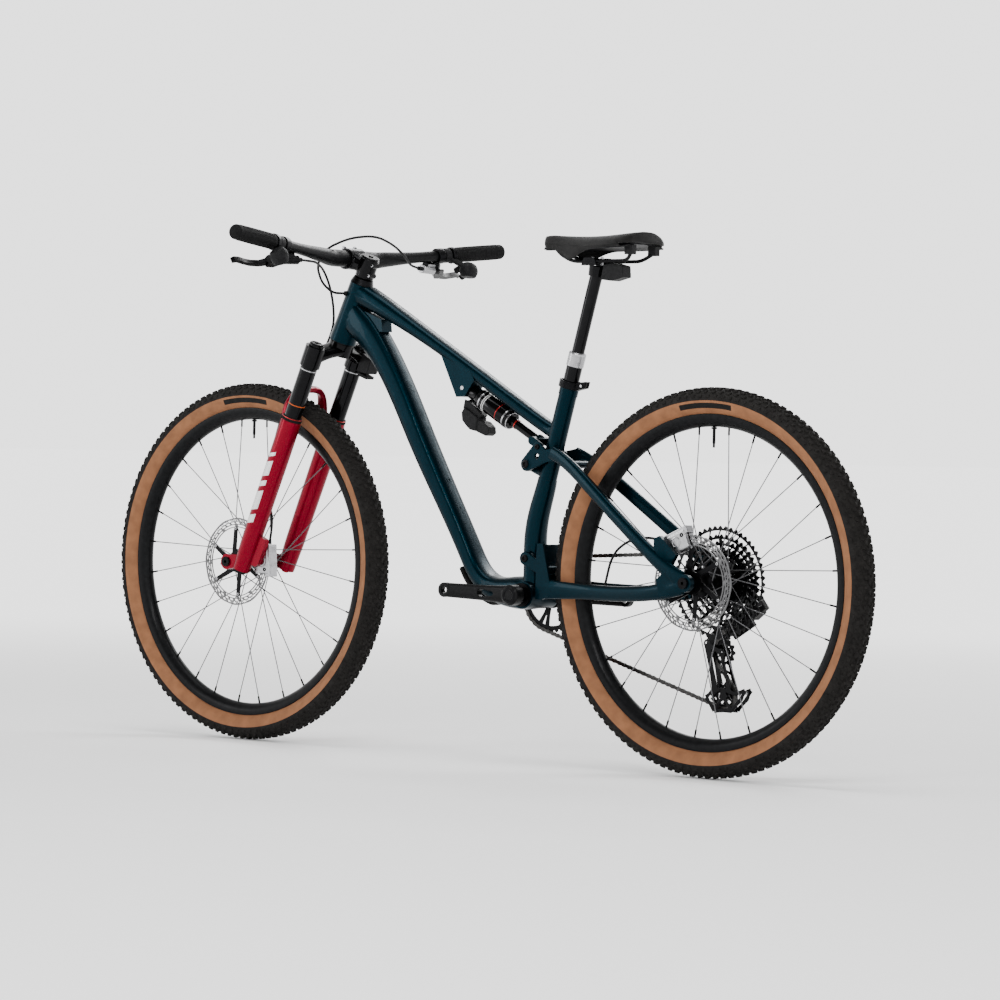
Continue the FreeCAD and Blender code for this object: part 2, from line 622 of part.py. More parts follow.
def chain():
    """Side plates of the chain as two bands round the ring, the cog and the two pulleys."""
    ring_r, cog_r = pitch_radius(RING_TEETH), pitch_radius(COG_TEETH)
    stops = [(BB, ring_r, RING_Y, 1), (REAR_AXLE, cog_r, COG_Y, 1),
             (PULLEY_UP, PULLEY_R, PULLEY_Y, -1), (PULLEY_LOW, PULLEY_R, PULLEY_Y, 1)]
    runs = []
    for i, (p, rp, yp, hp) in enumerate(stops):
        q, rq, yq, hq = stops[(i + 1) % 4]
        a, b = tangent(p, rp, q, rq, hp, hq)
        runs.append((side(a, yp), side(b, yq)))
    bands = []
    for band in (-BAND_Y, BAND_Y):
        offset = V(0, band, 0)
        pieces = []
        for i, (centre, r, y, hand) in enumerate(stops):
            a, b = runs[i]
            pieces.append(strip(a + offset, b + offset, BAND_W, BAND_H))
            arrive = runs[i - 1][1]
            pieces.append(arc_strip(centre, r, arrive, a, y + band, BAND_W, BAND_H, hand))
        bands.append(union(*pieces))
    return bands


# ---- rear derailleur ----------------------------------------------------------------
LINK_ROOT = at(-630, 312, -92)
LINK_TIP = at(-575, 268, -67)
LINK_DIR = V(LINK_TIP.x - LINK_ROOT.x, 0, LINK_TIP.z - LINK_ROOT.z).normalize()
LINK_AXIS = LINK_DIR.cross(V(0, 1, 0))
CAGE_PIVOT = at(-566, 252, -64)


def mech(along, y, up):
    """Point in the derailleur's own frame: along the links, Y, and up their pivot axis."""
    return side(LINK_ROOT, 0) + LINK_DIR * along + V(0, y, 0) + LINK_AXIS * up


def mech_prism(points, up0, up1):
    """Polygon of (along, y) points between two heights on the pivot axis."""
    corners = [mech(a, y, up0) for a, y in points]
    return Part.Face(Part.makePolygon(corners + corners[:1])).extrude(LINK_AXIS * (up1 - up0))


LINK_SPAN = (side(LINK_TIP, 0) - side(LINK_ROOT, 0)).Length
LINK_HALF_GAP = 8.0


def ears(along, y, reach):
    """Two ears above and below a link end, with the block that joins them."""
    shapes = []
    for up0, up1 in ((-14, -10.4), (10.4, 14)):
        shapes.append(mech_prism([(along - 6 * reach, y - 11), (along - 6 * reach, y + 11),
                                  (along + 16 * reach, y + 11), (along + 16 * reach, y - 11)], up0, up1))
    shapes.append(mech_prism([(along + 9 * reach, y - 11), (along + 9 * reach, y + 11),
                              (along + 18 * reach, y + 11), (along + 18 * reach, y - 11)], -14, 14))
    return shapes


def derailleur_mount():
    arm = link(side(REAR_AXLE, 0), side(LINK_ROOT, 0) - LINK_DIR * 11, 15, 12, -100, -86)
    keep_out = mech_prism([(-8.6, -112), (-8.6, -72), (30, -72), (30, -112)], -10.3, 10.3)
    body = union(arm.cut(keep_out), *ears(0, LINK_ROOT.y, -1))
    body = body.cut(rod(side(REAR_AXLE, -120), side(REAR_AXLE, -50), 6.02))
    cap = rod(side(REAR_AXLE, -102.5), side(REAR_AXLE, -100.5), 11)
    pins = []
    for offset in (-LINK_HALF_GAP, LINK_HALF_GAP):
        y = LINK_ROOT.y + offset
        pins.append(rod(mech(0, y, -13.9), mech(0, y, 13.9), 2.2))
    body = union(body, cap, *pins)
    return body.cut(rod(side(REAR_AXLE, -100.5), side(REAR_AXLE, -50), 6.02))


def derailleur_battery(mount):
    return mech_prism([(-31, -99), (-31, -85), (-16, -85), (-16, -99)], -13, 18).cut(mount)


def derailleur_link(offset, half_height):
    root_y, tip_y = LINK_ROOT.y + offset, LINK_TIP.y + offset
    across = V(tip_y - root_y, -LINK_SPAN, 0).normalize() * 3.2
    points = [(across.x, root_y + across.y), (LINK_SPAN + across.x, tip_y + across.y),
              (LINK_SPAN - across.x, tip_y - across.y), (-across.x, root_y - across.y)]
    web = mech_prism(points, -10, 10)
    slope = (tip_y - root_y) / LINK_SPAN
    ribs = [(a, root_y + slope * a + w) for a, w in
            ((12, -2.4), (12, 2.4), (LINK_SPAN - 12, 2.4), (LINK_SPAN - 12, -2.4))]
    web = union(web, mech_prism(ribs, -half_height, half_height))
    ends = [rod(mech(a, y, -10), mech(a, y, 10), 4.6) for a, y in ((0, root_y), (LINK_SPAN, tip_y))]
    bores = [rod(mech(a, y, -12), mech(a, y, 12), 2.2 + FIT) for a, y in ((0, root_y), (LINK_SPAN, tip_y))]
    return union(web, *ends).cut(bores)


def derailleur_knuckle():
    barrel = rod(side(CAGE_PIVOT, -78), side(CAGE_PIVOT, -52.5), 18)
    pins = [rod(mech(LINK_SPAN, LINK_TIP.y + o, -13.9), mech(LINK_SPAN, LINK_TIP.y + o, 13.9), 2.2)
            for o in (-LINK_HALF_GAP, LINK_HALF_GAP)]
    keep_out = mech_prism([(LINK_SPAN - 30, -110), (LINK_SPAN - 30, -30), (LINK_SPAN + 8.6, -30),
                           (LINK_SPAN + 8.6, -110)], -10.4, 10.4)
    stub = rod(side(CAGE_PIVOT, -60), side(CAGE_PIVOT, -49), 5)
    return union(barrel.cut(keep_out), stub, *ears(LINK_SPAN, LINK_TIP.y, 1), *pins)


def derailleur_cage():
    plates = []
    low_front, low_back = at(-594, 156), at(-620, 158)
    guard_outline = [(-560, 152), (-562, 142), (-585, 120), (-628, 122), (-652, 146), (-662, 166),
                     (-655, 171), (-634, 165), (-606, 172), (-580, 168)]
    for y0, y1, pivot_r in ((-52.2, -50.2, 14), (-33.4, -31.4, 8)):
        guard = plate(guard_outline, y0, y1)
        window = union(link(at(-594, 140), at(-600, 147), 5, 4, y0 - 1, y1 + 1),
                       link(at(-617, 139), at(-612, 147), 5, 4, y0 - 1, y1 + 1))
        front_arm = link(side(CAGE_PIVOT, 0), low_front, pivot_r, 8, y0, y1)
        back_arm = link(side(PULLEY_UP, 0), low_back, 8, 8, y0, y1)
        top = link(side(CAGE_PIVOT, 0), side(PULLEY_UP, 0), pivot_r, 8, y0, y1)
        plates.append(union(guard.cut(window), front_arm, back_arm, top))
    bore = rod(side(CAGE_PIVOT, -60), side(CAGE_PIVOT, -40), 5 + FIT)
    pins = [rod(side(p, -52), side(p, -31.6), 3) for p in (PULLEY_UP, PULLEY_LOW)]
    rear_bar = rod(at(-651, 162, -52), at(-651, 162, -31.6), 3)
    return union(*plates, rear_bar, *pins).cut(bore)


def pulley(centre):
    wheel = rod(side(centre, PULLEY_Y - 1.1), side(centre, PULLEY_Y + 1.1), PULLEY_R + 2.2)
    hub = rod(side(centre, PULLEY_Y - 4), side(centre, PULLEY_Y + 4), 8)
    holes = []
    for k in range(6):
        a = math.pi * k / 3
        p = centre + V(14 * math.cos(a), PULLEY_Y, 14 * math.sin(a))
        holes.append(rod(p - V(0, 3, 0), p + V(0, 3, 0), 3))
    return union(wheel.cut(holes), hub).cut(rod(side(centre, -60), side(centre, -20), 3 + FIT))


# ---- fork ---------------------------------------------------------------------------
SEAL_S, CROWN_LOW_S, CROWN_TOP_S = 337.0, 454.0, 497.0
LEG_BOTTOM_S = 0.0


def fork_upper_unit():
    steerer = union(rod(steer(CROWN_RACE_S, 0), steer(694, 0), 14.3),
                    cone(steer(CROWN_RACE_S, 0), steer(560, 0), 19.5, 14.3))
    race = rod(steer(508, 0), steer(CROWN_RACE_S + 1.5, 0), 24)
    centre = rod(steer(486, 0), steer(511.9, 0), 26)
    pieces = [steerer, race, centre]
    for sign in (-1, 1):
        arm = loft([(steer(497, 0, sign * 8), 24, 12), (steer(488, 2, sign * 38), 20, 12),
                    (steer(477, 5, sign * 62), 19, 16)], 2.4, STEER_FWD)
        clamp = rod(steer(CROWN_LOW_S, LEG_FWD, sign * LEG_Y), steer(CROWN_TOP_S, LEG_FWD, sign * LEG_Y), 21)
        stanchion = rod(steer(130, LEG_FWD, sign * LEG_Y), steer(CROWN_TOP_S, LEG_FWD, sign * LEG_Y),
                        UPPER_TUBE_R)
        cap = rod(steer(CROWN_TOP_S, LEG_FWD, sign * LEG_Y), steer(502, LEG_FWD, sign * LEG_Y), 15)
        pieces += [arm, clamp, stanchion, cap]
    bore = rod(steer(480, 0), steer(700, 0), 11)
    return union(*pieces).cut(bore)


def damper_module():
    """Electronic damper housing behind the right crown, with its battery."""
    housing = steer_plate([(456, -16), (496, -16), (492, -44), (462, -46)], -LEG_Y - 15, -LEG_Y + 15)
    battery = steer_plate([(448, -20), (455.8, -20), (455.8, -45), (450, -45)], -LEG_Y - 12, -LEG_Y + 12)
    leg = rod(steer(400, LEG_FWD, -LEG_Y), steer(500, LEG_FWD, -LEG_Y), 21.05)
    knob = rod(steer(502.1, LEG_FWD, -LEG_Y), steer(507, LEG_FWD, -LEG_Y), 8)
    return [housing.cut(leg), battery.cut(leg), knob]


def stem_and_spacers():
    spacer = sleeve(steer(652.1, 0), steer(655, 0), 18, 14.35)
    clamp = rod(steer(655, 0), steer(695, 0), 19.5)
    neck = loft([(steer(675, 4), 17, 16), (steer(BAR_S, 16), 18, 15), (steer(BAR_S, 30), 21, 18)], 3.2)
    barrel = rod(steer(BAR_S, STEM_LENGTH, -22), steer(BAR_S, STEM_LENGTH, 22), 21.5)
    body = union(clamp, neck, barrel).cut([rod(steer(650, 0), steer(700, 0), 14.35),
                                           rod(steer(BAR_S, STEM_LENGTH, -30),
                                               steer(BAR_S, STEM_LENGTH, 30), 17.55)])
    cap = union(rod(steer(695.1, 0), steer(699, 0), 18), rod(steer(699, 0), steer(701, 0), 5))
    bolts = []
    for y in (-16, 16):
        for s in (BAR_S - 17, BAR_S + 17):
            bolts.append(rod(steer(s, STEM_LENGTH + 14, y), steer(s, STEM_LENGTH + 19.5, y), 3.6))
    return [spacer, body, cap] + [b.cut(body) for b in bolts]


def bar_point(y):
    """Centre of the handlebar at distance y from the middle."""
    reach = abs(y)
    middle = steer(BAR_S, STEM_LENGTH)
    bend = min(max(reach - 30, 0) / 60, 1.0)
    out = max(reach - 60, 0) * bend
    return V(middle.x - 0.160 * out, y, middle.z + 0.100 * out)


def bar_radius(y):
    reach = abs(y)
    if reach < 35:
        return 17.5
    if reach > 190:
        return 11.1
    return 17.5 - 6.4 * (reach - 35) / 155


def handlebar():
    sides = []
    for sign in (-1, 1):
        wires = []
        for y in (0, 20, 35, 50, 65, 80, 95, 130, 190, BAR_HALF - 3):
            ahead = bar_point(sign * (y + 4)) - bar_point(sign * max(y - 4, 0))
            if y == 0:
                ahead = V(0, sign, 0)
            wires.append(Part.Wire([Part.Circle(bar_point(sign * y), ahead, bar_radius(y)).toShape()]))
        sides.append(Part.makeLoft(wires, True, True))
    return union(*sides)


def bar_sleeve(y0, y1, r):
    return rod(bar_point(y0), bar_point(y1), r).cut(
        rod(bar_point(y0) * 2 - bar_point(y1), bar_point(y1) * 2 - bar_point(y0), 11.15))


def grips():
    pieces = []
    for sign in (-1, 1):
        pieces.append(bar_sleeve(sign * 272, sign * 397, 15.8))
        pieces.append(bar_sleeve(sign * 262, sign * 271.5, 16.8))
        pieces.append(rod(bar_point(sign * 397), bar_point(sign * BAR_HALF), 15.8))
    return pieces


LEVER_PIVOT = V(324, 252, 972)
LEVER_TIP = V(340, 338, 973)
LEVER_RUN = (LEVER_TIP - LEVER_PIVOT).normalize()
LEVER_PULL = V(-0.797, 0, 0.604)
LEVER_AXIS = LEVER_RUN.cross(LEVER_PULL).normalize()


def lever_frame(run, pull, up):
    """Point in the left brake lever's own frame."""
    across = LEVER_AXIS.cross(LEVER_RUN)
    return LEVER_PIVOT + LEVER_RUN * run + across * pull + LEVER_AXIS * up


def lever_prism(points, up0, up1):
    corners = [lever_frame(a, b, up0) for a, b in points]
    return Part.Face(Part.makePolygon(corners + corners[:1])).extrude(LEVER_AXIS * (up1 - up0))


def left_lever():
    """Two-finger brake lever blade with a hooked tip."""
    outline = [(-7, -7), (6, -8), (22, -12), (44, -12), (64, -8), (80, -4), (88, -7), (91, -3),
               (86, 3), (74, 3), (58, -1.5), (40, -4), (22, -3), (12, 3), (4, 8), (-7, 6)]
    blade = lever_prism(outline, -5, 5)
    return blade.cut(rod(lever_frame(0, 0, -10), lever_frame(0, 0, 10), 2.5 + FIT))


def left_master():
    """Brake master cylinder with its bar clamp, along the inside of the lever."""
    start, end = V(309, 186, 978), V(313, 240, 976)
    barrel = union(rod(start, end, 9), rod(V(311, 200, 986), V(313, 236, 985), 8))
    fork = []
    for up0, up1 in ((-9, -5.4), (5.4, 9)):
        fork.append(lever_prism([(-10, -8), (7, -8), (7, 8), (-6, 20), (-22, 20), (-24, 2)], up0, up1))
    block = lever_prism([(-13, -6), (-11, -6), (-11, 16), (-22, 20), (-26, 4)], -9, 9)
    pin = rod(lever_frame(0, 0, -8.9), lever_frame(0, 0, 8.9), 2.5)
    clamp = rod(bar_point(225), bar_point(241), 16)
    strut = loft([(bar_point(233) + V(4, 0, -10), 7, 8), (V(311, 230, 985), 8, 8)])
    body = union(barrel, block, clamp, strut, *fork, pin)
    nut = rod(V(308.3, 176, 978.5), start - V(0, 0.1, 0), 4.5)
    return [body.cut(rod(bar_point(192), bar_point(261), 11.15)), nut]


def left_pod():
    """Wireless dropper remote under the left grip's inner end."""
    shell = loft([(V(268, 292, 992), 13, 14), (V(266, 284, 980), 17, 18), (V(266, 278, 966), 12, 13)], 2.4)
    strut = rod(bar_point(252), V(272, 276, 986), 6)
    clamp = rod(bar_point(244), bar_point(259), 15)
    return union(shell, strut, clamp).cut([rod(bar_point(225), bar_point(300), 11.15),
                                           rod(bar_point(261), bar_point(330), 17.6),
                                           pod_button_space(0.5)])


POD_BUTTON = V(286, 283, 976)
POD_PRESS = V(-0.92, 0, 0.39)


def pod_button_space(margin):
    depth = 6 + margin
    start = POD_BUTTON - POD_PRESS * (8 + margin)
    return rod(start, POD_BUTTON + POD_PRESS * (depth + 2.5), 8 + margin)


def left_pod_button():
    return rod(POD_BUTTON - POD_PRESS * 8, POD_BUTTON + POD_PRESS * 5.5, 8)


RIGHT_BUTTONS = (V(288, -278, 981), V(286, -293, 968))


def right_pod():
    """Wireless shifter with two rocker keys."""
    shell = loft([(V(268, -290, 990), 14, 13), (V(266, -285, 978), 20, 17), (V(265, -283, 964), 15, 13)],
                 2.4)
    strut = rod(bar_point(-252), V(270, -276, 986), 6)
    clamp = rod(bar_point(-244), bar_point(-259), 15)
    spaces = [rod(p - POD_PRESS * 9, p + POD_PRESS * 8.5, 7) for p in RIGHT_BUTTONS]
    return union(shell, strut, clamp).cut([rod(bar_point(-225), bar_point(-300), 11.15),
                                           rod(bar_point(-261), bar_point(-330), 17.6)] + spaces)


def right_button(centre):
    return rod(centre - POD_PRESS * 8, centre + POD_PRESS * 6, 6.5)


def fork_lowers():
    pieces = []
    for sign in (-1, 1):
        y = sign * LEG_Y
        leg = union(cone(steer(LEG_BOTTOM_S, LEG_FWD, y), steer(60, LEG_FWD, y), 18, 20),
                    cone(steer(60, LEG_FWD, y), steer(250, LEG_FWD, y), 20, LEG_R),
                    rod(steer(250, LEG_FWD, y), steer(SEAL_S - 8, LEG_FWD, y), LEG_R),
                    cone(steer(SEAL_S - 8, LEG_FWD, y), steer(SEAL_S, LEG_FWD, y), LEG_R, 19.6))
        y0, y1 = sorted((sign * 55.0, sign * 75.0))
        lobe = union(steer_plate([(32, 10), (10, 56), (-12, 58), (-15, 42), (-7, 27), (0.5, 16)],
                                 y0, y1),
                     rod(side(FRONT_AXLE, y0), side(FRONT_AXLE, y1), 16))
        pieces += [leg, lobe]
    half_arch = [(296, 18, 58, 14, 8), (332, 32, 52, 12, 7.5), (368, 40, 44, 10, 7), (384, 41, 30, 9, 6.5)]
    arch = [(steer(s, n, y), w, d) for s, n, y, w, d in half_arch] + [(steer(389, 41, 0), 9, 6)]
    arch += [(steer(s, n, -y), w, d) for s, n, y, w, d in reversed(half_arch)]
    pieces.append(loft(arch, 2.8, STEER_FWD))
    post = steer_plate([(20, -10), (84, -10), (84, -30), (76, -34), (30, -34), (22, -28)], 57, 69)
    body = union(*pieces, post)
    cuts = [rod(side(FRONT_AXLE, -90), side(FRONT_AXLE, 90), 7.52)]
    for sign in (-1, 1):
        y = sign * LEG_Y
        cuts.append(rod(steer(13, LEG_FWD, y), steer(SEAL_S + 10, LEG_FWD, y), UPPER_TUBE_R + 0.08))
        cuts.append(rod(side(FRONT_AXLE, sign * 40), side(FRONT_AXLE, sign * 54.9), 20))
    cuts.append(rod(side(FRONT_AXLE, 38), side(FRONT_AXLE, 46.9), ROTOR_R + 3))
    knob = rod(steer(-6, LEG_FWD, -LEG_Y), steer(LEG_BOTTOM_S, LEG_FWD, -LEG_Y), 7)
    return [body.cut(cuts), knob]


def front_axle():
    shaft = rod(side(FRONT_AXLE, -76), side(FRONT_AXLE, 76), 7.5)
    head = rod(side(FRONT_AXLE, 75.05), side(FRONT_AXLE, 79), 10)
    return union(shaft, head).cut(rod(side(FRONT_AXLE, 70), side(FRONT_AXLE, 90), 3.2))


# ---- brakes ---------------------------------------------------------------------------
FRONT_ROTOR_Y, REAR_ROTOR_Y = 42.5, 55.0
PAD_GAP = 0.45
PAD_R = 8.0


def caliper(axle, disc_y, direction, outboard_limit):
    """Two-piston caliper body round the disc's rim.  Direction is its angle seen from the axle."""
    a = math.radians(direction)
    out, along = V(math.cos(a), 0, math.sin(a)), V(-math.sin(a), 0, math.cos(a))
    mid_y = disc_y + 0.9

    def block(r0, r1, half, y0, y1):
        corners = [side(axle, y0) + out * r + along * t
                   for r, t in ((r0, -half), (r1, -half), (r1, half), (r0, half))]
        return Part.Face(Part.makePolygon(corners + corners[:1])).extrude(V(0, y1 - y0, 0))
    centre = axle + out * (ROTOR_R - PAD_R)
    bodies = union(block(64, 97, 26, mid_y - 15, mid_y + outboard_limit),
                   rod(side(centre, mid_y - 17), side(centre, mid_y + outboard_limit), 12),
                   block(90, 104, 33, mid_y - 10, mid_y + outboard_limit - 1))
    slot = [rod(side(axle, mid_y - 2.4), side(axle, mid_y + 2.4), ROTOR_R + 3.5),
            rod(side(centre, mid_y - 7), side(centre, mid_y + 7), PAD_R + 0.4),
            block(60, 83, 10, mid_y - 7, mid_y + 7)]
    bolts = []
    for t in (-29, 29):
        spot = side(axle, mid_y) + out * 98 + along * t
        bolts.append(rod(spot - V(0, 4, 0), spot + V(0, 4, 0), 3))
    body = bodies.cut(slot + bolts)
    pads = []
    for sign in (-1, 1):
        y_face = mid_y + sign * (0.9 + PAD_GAP)
        y0, y1 = sorted((y_face, mid_y + sign * 4.4))
        pads.append(rod(side(centre, y0), side(centre, y1), PAD_R))
    return body, bolts, pads


FRONT_CALIPER_ANGLE = 177.0
REAR_CALIPER_ANGLE = 66.0


# ---- saddle -----------------------------------------------------------------------------
SADDLE_NOSE, SADDLE_TAIL = -180.0, -424.0
RAIL_Z = 975.0


def dropper_stanchion():
    tube = rod(seat(-60), seat(214), STANCHION_R)
    head = loft([(seat(211), 14.5, 14.5), (seat(219), 16, 15), (seat(232), 19, 16)])
    head = head.cut(box(-350, -260, -40, 40, 967.3, 1000))
    cradle_cut = [rod(at(-340, RAIL_Z, y), at(-270, RAIL_Z, y), 3.6) for y in (-22, 22)]
    return union(tube, head).cut(cradle_cut)


def post_battery():
    shell = plate([(-325, 940), (-331, 968), (-352, 972), (-378, 966), (-380, 944), (-352, 937)], -13, 13)
    return shell.cut(rod(seat(150), seat(250), 17))


def saddle_clamp():
    """Rail clamps and their two bolts on top of the post head."""
    lower = [plate([(-288, 967.2), (-324, 967.2), (-322, 975), (-290, 975)], *sorted((s * 17, s * 27)))
             for s in (-1, 1)]
    upper = [plate([(-290, 975.2), (-322, 975.2), (-318, 982), (-294, 982)], *sorted((s * 17, s * 27)))
             for s in (-1, 1)]
    cradle_cut = [rod(at(-340, RAIL_Z, y), at(-270, RAIL_Z, y), 3.6) for y in (-22, 22)]
    bolts = [rod(at(x, 967.6), at(x, 984), 3) for x in (-294, -318)]
    bridge = plate([(-290, 976), (-322, 976), (-318, 981), (-294, 981)], -17, 17)
    clamps = [c.cut(cradle_cut) for c in lower]
    top = union(*upper, bridge).cut(cradle_cut + [rod(at(x, 950), at(x, 990), 3.1) for x in (-294, -318)])
    return clamps + [top] + bolts


def saddle_rails():
    pieces = []
    for sign in (-1, 1):
        route = [V(-208, sign * 8, 1003), V(-226, sign * 14, 990), V(-262, sign * 22, RAIL_Z),
                 V(-396, sign * 22, RAIL_Z), V(-416, sign * 34, 990)]
        pieces.append(hose(route, 3.5))
    return pieces


def saddle_half_width(x):
    """Half width of the saddle from its nose to its tail."""
    t = (SADDLE_NOSE - x) / (SADDLE_NOSE - SADDLE_TAIL)
    return 17 + 56 * (3 * t ** 2 - 2 * t ** 3) if t < 1 else 73


def saddle_shell(z_low, thickness, shrink):
    wires = []
    count = 7
    for k in range(count):
        t = 0.02 + 0.96 * k / (count - 1)
        x = SADDLE_NOSE + (SADDLE_TAIL - SADDLE_NOSE) * t
        half = saddle_half_width(x) - shrink
        if k == count - 1:
            half *= 0.86
        drop = 3.5 * math.sin(math.pi * t)
        points = []
        for u in (-1, -0.55, 0, 0.55, 1):
            points.append(V(x, half * u, z_low - drop - 7 * abs(u) ** 3))
        for u in (1, 0.55, 0, -0.55, -1):
            points.append(V(x, half * u, z_low - drop - 7 * abs(u) ** 3 + thickness))
        wires.append(Part.makePolygon(points + points[:1]))
    return Part.makeLoft(wires, True, True)


def saddle_base(rails):
    nose_block = box(-218, -200, -12, 12, 998, 1004.5)
    tail = [box(-424, -406, s - 7, s + 7, 986, 1004) for s in (-36, 36)]
    return union(saddle_shell(1006, 3.4, 2), nose_block, *tail).cut(rails)


def saddle_cover():
    return saddle_shell(1010.3, 15, 0)


# ---- hoses -------------------------------------------------------------------------------
REAR_HOSE_ROUTE = [V(-383, 51.5, 357), V(-388, 51, 378), V(-394, 50, 402), V(-408, 49.5, 424),
                   V(-432, 49, 440), V(-464, 50, 449), V(-498, 54, 449.5), V(-526.4, 58, 443.5)]
BAR_REAR_HOSE = [V(308.3, -175.9, 978.5), V(304, -146, 983), V(286, -108, 1000), V(276, -62, 1020),
                 V(280, -12, 1036), V(310, 32, 1030), V(346, 62, 1008), V(360, 76, 974),
                 V(351, 68, 937.5), V(340, 46.9, 918.6), V(329.2, 25.4, 918.6)]
FRONT_HOSE = [V(308.3, 175.9, 978.5), V(316, 146, 978), V(334, 104, 978), V(354, 62, 966),
              V(366, 30, 938), V(374, 8, 898), V(384, -6, 856), V(402, -4, 812),
              V(424, 8, 770), V(450, 24, 735), V(470, 38, 700), V(488, 39, 655), V(504, 38, 610),
              V(516, 37.5, 565), V(520, 38, 525), V(511, 40, 490), V(499, 44, 462),
              V(497, 47, 436), V(501.6, 48, 407)]


# ---- assembly ----------------------------------------------------------------------------
def main():
    os.makedirs("parts", exist_ok=True)
    core = front_frame_core()
    export("front_frame", front_frame(core))
    export("frame_bearings", *frame_bearings())
    export("seat_collar", *seat_collar())
    export("dropper_outer_tube", dropper_outer_tube(), dropper_lockring())
    export("frame_fittings", *port_bezels(core), chin_guard(core))

    export("lower_link", *lower_link())
    export("rocker_link", *rocker_link())
    export("shock_can", *shock_can(), *shock_servo())
    export("shock_shaft", *shock_shaft(), shock_yoke())
    export("rear_triangle", rear_triangle())
    export("rear_axle", rear_axle())

    for name, axle, hub, ys in (("front", FRONT_AXLE, front_hub(), (28.2, -33.8)),
                                ("rear", REAR_AXLE, rear_hub(), (32.2, -20.2))):
        export(name + "_tyre", tyre(axle))
        export(name + "_rim", *rim(axle))
        export(name + "_spokes", *spokes(axle, ys[0], ys[1], 24.5))
        export(name + "_hub", hub)
    export("front_rotor", *rotor(FRONT_AXLE, FRONT_ROTOR_Y))
    export("rear_rotor", *rotor(REAR_AXLE, REAR_ROTOR_Y))

    export("cassette", *cassette())
    export("chainring", chainring())
    export("left_crank_arm", crank_arm(1))
    export("right_crank_arm", crank_arm(-1), crank_spindle())
    export("chain", *chain())

    mount = derailleur_mount()
    export("derailleur_mount", mount, derailleur_battery(mount))
    export("derailleur_outer_link", derailleur_link(-LINK_HALF_GAP, 21))
    export("derailleur_inner_link", derailleur_link(LINK_HALF_GAP, 15))
    export("derailleur_knuckle", derailleur_knuckle())
    export("derailleur_cage", derailleur_cage())
    export("upper_pulley", pulley(PULLEY_UP))
    export("lower_pulley", pulley(PULLEY_LOW))

    export("fork_upper_unit", fork_upper_unit(), *damper_module())
    export("stem_and_spacers", *stem_and_spacers())
    export("handlebar", handlebar())
    export("grips", *grips())
    master = left_master()
    export("brake_masters", *master, *[mirrored(m) for m in master])
    export("left_lever", left_lever())
    export("right_lever", mirrored(left_lever()))
    export("control_pods", left_pod(), right_pod())
    export("left_pod_button", left_pod_button())
    export("right_pod_up_button", right_button(RIGHT_BUTTONS[0]))
    export("right_pod_down_button", right_button(RIGHT_BUTTONS[1]))
    export("fork_lowers", *fork_lowers())
    export("front_axle", front_axle())

    body, bolts, pads = caliper(FRONT_AXLE, FRONT_ROTOR_Y, FRONT_CALIPER_ANGLE, 13.5)
    leg_space = rod(steer(-40, LEG_FWD, LEG_Y), steer(160, LEG_FWD, LEG_Y), 21.2)
    export("front_caliper", body.cut(leg_space), *bolts)
    export("front_pad_right", pads[0])
    export("front_pad_left", pads[1])
    body, bolts, pads = caliper(REAR_AXLE, REAR_ROTOR_Y, REAR_CALIPER_ANGLE, 12)
    export("rear_caliper", body, *bolts)
    export("rear_pad_right", pads[0])
    export("rear_pad_left", pads[1])

    export("dropper_stanchion", dropper_stanchion(), post_battery())
    export("saddle_clamp", *saddle_clamp())
    rails = saddle_rails()
    export("saddle_rails", *rails)
    export("saddle_base", saddle_base(rails))
    export("saddle_cover", saddle_cover())

    export("rear_hose", hose(REAR_HOSE_ROUTE, HOSE_R))
    export("rear_hose_front", hose(BAR_REAR_HOSE, HOSE_R))
    export("front_hose", hose(FRONT_HOSE, HOSE_R))


main()
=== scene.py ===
import json
import math
import bmesh
import bpy
from mathutils import Matrix, Vector


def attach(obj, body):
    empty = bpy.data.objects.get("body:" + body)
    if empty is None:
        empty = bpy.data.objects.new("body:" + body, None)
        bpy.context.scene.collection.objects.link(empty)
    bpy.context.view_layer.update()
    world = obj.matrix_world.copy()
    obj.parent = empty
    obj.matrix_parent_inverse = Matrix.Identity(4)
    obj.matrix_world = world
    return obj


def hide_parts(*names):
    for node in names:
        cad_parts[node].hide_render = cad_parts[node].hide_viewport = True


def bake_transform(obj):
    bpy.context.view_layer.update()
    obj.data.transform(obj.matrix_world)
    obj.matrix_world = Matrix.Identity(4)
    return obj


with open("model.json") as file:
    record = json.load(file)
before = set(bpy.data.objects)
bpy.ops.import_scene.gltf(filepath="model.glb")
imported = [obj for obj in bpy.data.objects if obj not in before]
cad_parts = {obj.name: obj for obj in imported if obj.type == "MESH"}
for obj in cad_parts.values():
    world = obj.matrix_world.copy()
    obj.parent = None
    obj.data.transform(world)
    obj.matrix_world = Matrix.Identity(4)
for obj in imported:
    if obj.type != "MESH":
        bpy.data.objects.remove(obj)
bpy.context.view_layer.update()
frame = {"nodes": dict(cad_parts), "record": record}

# Mountain bike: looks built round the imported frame.  Metres, +X travel, +Y rider's left, +Z up.
NODES = frame["nodes"]
RECORD = frame["record"]
BODY_OF = {n: b for b, ns in RECORD["behaviour"]["bodies"].items() for n in ns}
SLOT_OF = {s["node"]: s["material_slot"] for s in RECORD["subparts"]}
MM = 0.001
FRONT = Vector((0.5965, 0, 0.368))
REAR = Vector((-0.5965, 0, 0.368))
BB = Vector((-0.1685, 0, 0.329))
HEAD = math.radians(66.8)
UP = Vector((-math.cos(HEAD), 0, math.sin(HEAD)))
FWD = Vector((math.sin(HEAD), 0, math.cos(HEAD)))
BASE = FRONT - FWD * 0.044
LEG_Y, LEG_FWD = 66, 6
AXLE = {"front": FRONT, "rear": REAR}
ROTOR_Y = {"front": 42.5, "rear": 55.0}


